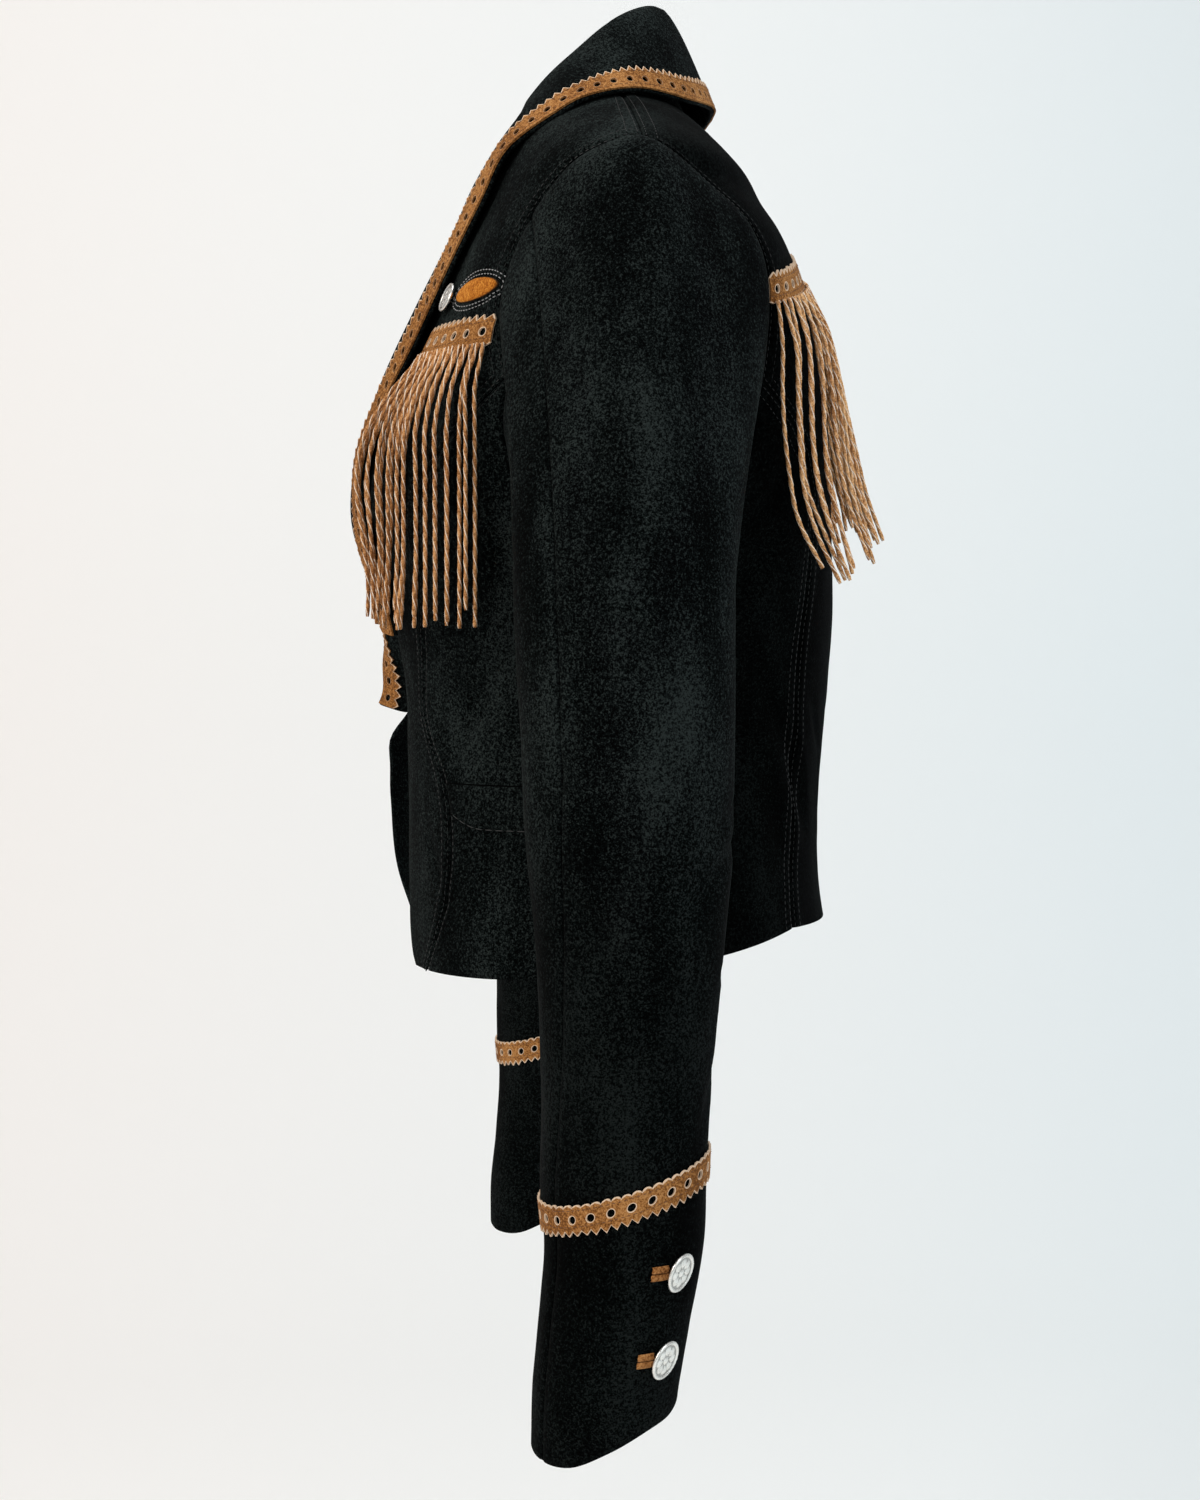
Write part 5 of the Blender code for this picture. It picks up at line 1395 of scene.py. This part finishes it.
def make_back_fringe():
    xs, run = back_arc()
    rng = random.Random(77)
    verts, faces, pale = store = [], [], []
    for k in range(BACK_LACES):
        x = smooth(run, xs, lerp(0.003, run[-1] - 0.003, k / (BACK_LACES - 1)))
        top = back_strip_height(x) - STRIP_WIDTH / 2 + ROOT_UNDER
        length = STRAND_LENGTH * (1 - 0.09 * rng.random())
        phase = rng.uniform(0, 2 * pi)
        layer = (k % 2) * 0.0034
        group = (k % 5 - 2) * 0.0006
        gather = BACK_GATHER * (1 + 0.25 * rng.uniform(-1, 1))
        sweep = BACK_SWEEP + 0.005 * rng.uniform(-1, 1)
        control, reach = [], -1.0
        for s in (0.0, 0.07, 0.18, 0.34, 0.5, 0.66, 0.82, 1.0):
            z = top - length * s
            px = x * (1 - gather * s) + lace_wave(s, 1.2, phase) - group * s
            skin = on_back(px, max(z, BLADE_HEIGHT), lace_rise(s, layer))
            reach = max(reach, skin.y)
            control.append(Vector((skin.x, reach + sweep * s ** 3, z)))
        normal = torso_normal(angle_at_x(abs(x), top, False), top)
        lace(store, control, mirrored(normal, half_of(x)), phase)
    add_object("back_fringe", verts, faces, PAINTED_LIGHT_LACE, LEFT, pale)


# ---------------------------------------------------------------- buttons and small leather

def ring_faces(rows, around):
    """Quads between rings of points, and a face that closes the last ring."""
    starts = [i * around for i in range(rows)]
    faces = [(a + k - 1, a + k, b + k, b + k - 1) for a, b in zip(starts, starts[1:])
             for k in range(1, around)]
    faces += [(a + around - 1, a, b, b + around - 1) for a, b in zip(starts, starts[1:])]
    return faces + [tuple(range(starts[-1], starts[-1] + around))]


def button_height(share, angle):
    """Embossed face: a roped rim round eight petals and a domed centre."""
    if share > 0.8:
        rope = 0.5 + 0.5 * cos(26 * angle + 9 * (share - 0.9) * 10)
        rim = max(0.0, 1 - ((share - 0.905) / 0.1) ** 2)
        return 0.3 * rim + 0.16 * rope * rim
    petal = abs(cos(4 * angle)) ** 0.7
    leaf = max(0.0, 1 - ((share - 0.5) / (0.1 + 0.16 * petal)) ** 2)
    vein = 1 - 0.5 * exp(-((angle * 4 / pi % 1 - 0.5) / 0.07) ** 2)
    dome = 0.42 * max(0.0, 1 - (share / 0.22) ** 2)
    bead = 0.12 * max(0.0, cos(12 * angle)) * exp(-((share - 0.27) / 0.035) ** 2)
    return 0.34 * leaf * vein + dome + bead


def make_button(name, centre, axis, radius, side):
    rings, around = 26, 96
    thickness = BUTTON_HEIGHT * 0.62
    profile = [(share, thickness * rise, False) for share, rise in BUTTON_BACK]
    profile += [(0.985 * r / rings, thickness * 0.9, True) for r in range(rings, 0, -1)]
    turn = mirrored(axis, side).to_track_quat("Z", "Y").to_matrix()
    verts, pale = [], []
    for share, rise, face in profile:
        for k in range(around):
            angle = 2 * pi * k / around
            relief = button_height(share, angle) if face else 0.0
            point = Vector((radius * share * cos(angle), radius * share * sin(angle),
                            rise + BUTTON_RELIEF * relief))
            verts.append(mirrored(centre, side) + turn @ point)
            pale.append(max(0.0, 0.75 - 3.2 * relief) if face else 0.15)
    faces = ring_faces(len(profile), around) + [tuple(range(around))[::-1]]
    add_object(name, verts, faces, METAL, LEFT, pale)


def make_oval(side):
    """Raised oval of orange brown suede, with two dashed rings round it."""
    name = side_name("oval_inset", side)

    def spot(share, angle, rise, grow=0.0):
        x, z = (centre + ((half - OVAL_INSET) * share + grow) * turn(angle)
                for centre, half, turn in zip(OVAL_CENTRE, OVAL_HALF, (cos, sin)))
        point = lie_on_torso(x, z, True, rise, [side_name("front", side)])
        return point, torso_normal(angle_at_x(x, z, True), z)

    rings, around = 8, 40
    verts, pale = [], []
    for r in range(rings + 1):
        share = 1.0 if r == 0 else 1 - (r - 1) / rings
        rise = 0.0002 if r == 0 else 0.0006 + 0.0013 * (1 - share ** 3) ** 0.6
        verts += [spot(share, 2 * pi * k / around, rise)[0] for k in range(around)]
        pale += [1.0 if r < 2 else 0.0] * around
    faces = [f[::-1] for f in ring_faces(rings + 1, around)]
    add_object(name, verts, faces, INSET, side, pale)
    lines = [[spot(1.0, 2 * pi * k / 72, 0.0001, grow) for k in range(73)]
             for grow in (0.0018, 0.004)]
    stitches(name, lines, side, GREY_THREAD, (0.0021, 0.0009, 0.0003))


def make_pocket(side):
    """Welt on the side panel: its top edge painted near black as shade, and a painted highlight of
    thread along its lower seam.
    """
    carriers = [side_name("side_panel", side), side_name("front", side)]
    grid = []
    for share, rise in POCKET_PROFILE:
        row = []
        for j in range(49):
            bend = POCKET_BEND * max(0.0, 1 - (48 - j) / 11) ** 2
            height = lerp(POCKET_BOTTOM + bend, POCKET_TOP, share)
            start = angle_at_x(pair_curve(FRONT_SEAM, height), height, True) - POCKET_MARGIN
            angle = lerp(angle_at_y(POCKET_BACK_Y, height), start, j / 48)
            row.append(settle(torso(angle, height), torso_normal(angle, height), rise, carriers))
        grid.append(row)
    name = side_name("pocket_welt", side)
    # Near black painted shade along the welt's top edge, in the opening of the pocket.
    pale = [1.0 if share > 0.96 else 0.0 for share, _ in POCKET_PROFILE for _ in range(49)]
    shell(name, grid, side, WELT, 0.0008, pale=pale)
    # Painted highlight: a near continuous line of charcoal thread, lighter than the black suede,
    # stands in for the light along the welt's lower seam.
    stitches(name, [inset_line(name, "first_row", 0.001)], side, THREAD_AND_WELT_HIGHLIGHT,
             (0.006, 0.0001, 0.00032))


def make_tab(name, angle, height, side):
    """Bound buttonhole: two rolled lips, with painted shade in the slit between them and along
    their edges and ends.
    """
    end = angle - TAB_START / CUFF_RADIUS
    start = end - TAB_LENGTH / CUFF_RADIUS
    rng = random.Random(int(abs(height) * 1e4))
    grid, pale = [], []
    for share, rise, tone in TAB_PROFILE:
        z = height + lerp(-TAB_WIDTH / 2, TAB_WIDTH / 2, share)
        row = []
        for j in range(13):
            t = j / 12
            fade = min(1.0, 8 * t, 8 * (1 - t))
            ragged = 0.0004 * rng.uniform(-1, 1) if j in (0, 12) else 0.0
            row.append(lie_on_sleeve(lerp(start, end, t) + ragged / CUFF_RADIUS, z,
                                     0.0003 + rise * (0.35 + 0.65 * fade), side))
            # Painted shade: the slit, the edges and the ragged ends are darkened.
            pale.append(max(tone, 0.5 * (1 - fade)))
        grid.append(row)
    shell(name, grid, side, BINDING, 0.0004, pale=pale)


def make_small(side):
    x, height = CHEST_BUTTON_AT
    base = lie_on_torso(x, height, True, BUTTON_LIFT, [side_name("front", side)])
    make_button(side_name("chest_button", side), base,
                torso_normal(angle_at_x(x, height, True), height), CHEST_BUTTON_RADIUS, side)
    for number, (degrees, height) in enumerate(CUFF_BUTTONS, start=1):
        angle = radians(degrees)
        base = lie_on_sleeve(angle, height, BUTTON_LIFT, side)
        axis = sleeve_skin(angle, height, 1.0) - sleeve_skin(angle, height)
        axis = Matrix.Rotation(radians(CUFF_BUTTON_TURN), 3, "Z") @ axis
        axis.z -= CUFF_BUTTON_DROP
        make_button(side_name("cuff_button_%d" % number, side), base, axis, CUFF_BUTTON_RADIUS,
                    side)
        make_tab(side_name("buttonhole_%d" % number, side), angle, height, side)


def make_stitching():
    """Topstitching beside the seams, one mesh for each panel."""
    near, far = TOPSTITCH
    rows = {"side_panel": (("first_column", near), ("last_column", near), ("first_column", far)),
            "front": (("first_column", near), ("first_column", far), ("last_row", near),
                      ("last_row", far))}
    panels = [(side_name(stem, side), edges, side) for side in (LEFT, RIGHT)
              for stem, edges in rows.items()]
    panels.append(("back", [(edge, distance) for edge in SIDES for distance in TOPSTITCH], LEFT))
    for name, edges, side in panels:
        stitches(name, [inset_line(name, *edge) for edge in edges], side, THREAD_AND_WELT_HIGHLIGHT)


# ---------------------------------------------------------------- camera, light and floor

def link(name, data):
    made = bpy.data.objects.new(name, data)
    bpy.context.scene.collection.objects.link(made)
    return made


def make_stage():
    """Curved pale backdrop that runs into the floor, with a faint tint to either side."""
    material, tree, shader = fresh("Backdrop paper", 0.9, gloss=0.05)
    feed(tree, shader.inputs["Base Color"],
         mixed(tree, span_of(tree, "Y", -1.2, 1.2), (0.95, 0.905, 0.872), (0.87, 0.925, 0.94)))
    floor, cove, back = -1.25, 0.9, -2.4
    line = [(4.0, floor), (-1.0, floor)]
    for k in range(13):
        a = pi / 2 * k / 12
        line.append((back + cove - cove * sin(a), floor + cove - cove * cos(a)))
    line.append((back, 3.0))
    mesh = bpy.data.meshes.new("floor")
    mesh.from_pydata([(x, y, z) for x, z in line for y in (-4.5, 4.5)], [],
                     [(2 * i, 2 * i + 1, 2 * i + 3, 2 * i + 2) for i in range(len(line) - 1)])
    mesh.polygons.foreach_set("use_smooth", [True] * len(mesh.polygons))
    mesh.materials.append(material)
    stage = link("floor", mesh)


def make_view():
    data = bpy.data.cameras.new("View")
    data.sensor_fit = "VERTICAL"
    data.sensor_height = 36.0
    data.lens = 36.0 * FOCAL / 1500
    camera = link("View", data)
    right, up, on = (Vector(v) for v in VIEW_AXES)
    camera.matrix_world = (Matrix.Translation(VIEW_AT)
                           @ Matrix((right, up, -on)).transposed().to_4x4())
    bpy.context.scene.camera = camera
    world = bpy.data.worlds.new("Studio")
    world.use_nodes = True
    sky = world.node_tree.nodes["Background"].inputs
    sky["Color"].default_value = (0.97, 0.98, 1.0, 1)
    sky["Strength"].default_value = 0.47
    bpy.context.scene.world = world
    bpy.context.scene.view_settings.view_transform = "Standard"
    for name, place, target, size, power, colour in LIGHTS:
        data = bpy.data.lights.new(name, "AREA")
        data.shape = "RECTANGLE"
        data.size, data.size_y = size
        data.energy, data.color = power, colour
        lamp = link(name, data)
        lamp.location = place
        aim = Vector(target) - Vector(place)
        lamp.rotation_euler = aim.to_track_quat("-Z", "Y").to_euler()


make_stage()
make_view()
make_back()
for half in (LEFT, RIGHT):
    for make in (make_side, make_front, make_sleeves, make_collar, make_collar_trim,
                 make_front_strip, make_front_fringe, make_cuff_trim, make_oval, make_pocket,
                 make_small):
        make(half)
make_back_strip()
make_back_fringe()
make_stitching()

# Each panel with what it hangs from and what lies on it.
PANELS = {
    "back": (("collar",), ("back_strip", "back_fringe", "stitch_back", "stitch_back_strip")),
    "side_panel": (("back", "front"), ("pocket_welt", "stitch_side_panel",
                                       "stitch_pocket_welt")),
    "front": (("back", "collar"), ("front_strip", "front_fringe", "oval_inset", "chest_button",
                                   "stitch_front", "stitch_front_strip", "stitch_oval_inset")),
    "collar": (("back", "front"), ("collar_trim", "stitch_collar_trim")),
    "top_sleeve": (("front", "back"), ("cuff_trim_outer", "stitch_cuff_trim_outer",
                                       "cuff_button_1", "cuff_button_2", "buttonhole_1",
                                       "buttonhole_2")),
    "under_sleeve": (("top_sleeve",), ("cuff_trim_inner", "stitch_cuff_trim_inner")),
}
for stem, (hangs_from, carried) in PANELS.items():
    for half in (LEFT,) if stem == "back" else (LEFT, RIGHT):
        name, *around = [part if part in PIECES else side_name(part, half)
                         for part in (stem, *hangs_from, *carried)]
        rests = around[:len(hangs_from)]
        pieces = [PIECES[part] for part in around[len(hangs_from):]]
        width, length, area = cut_of(name)
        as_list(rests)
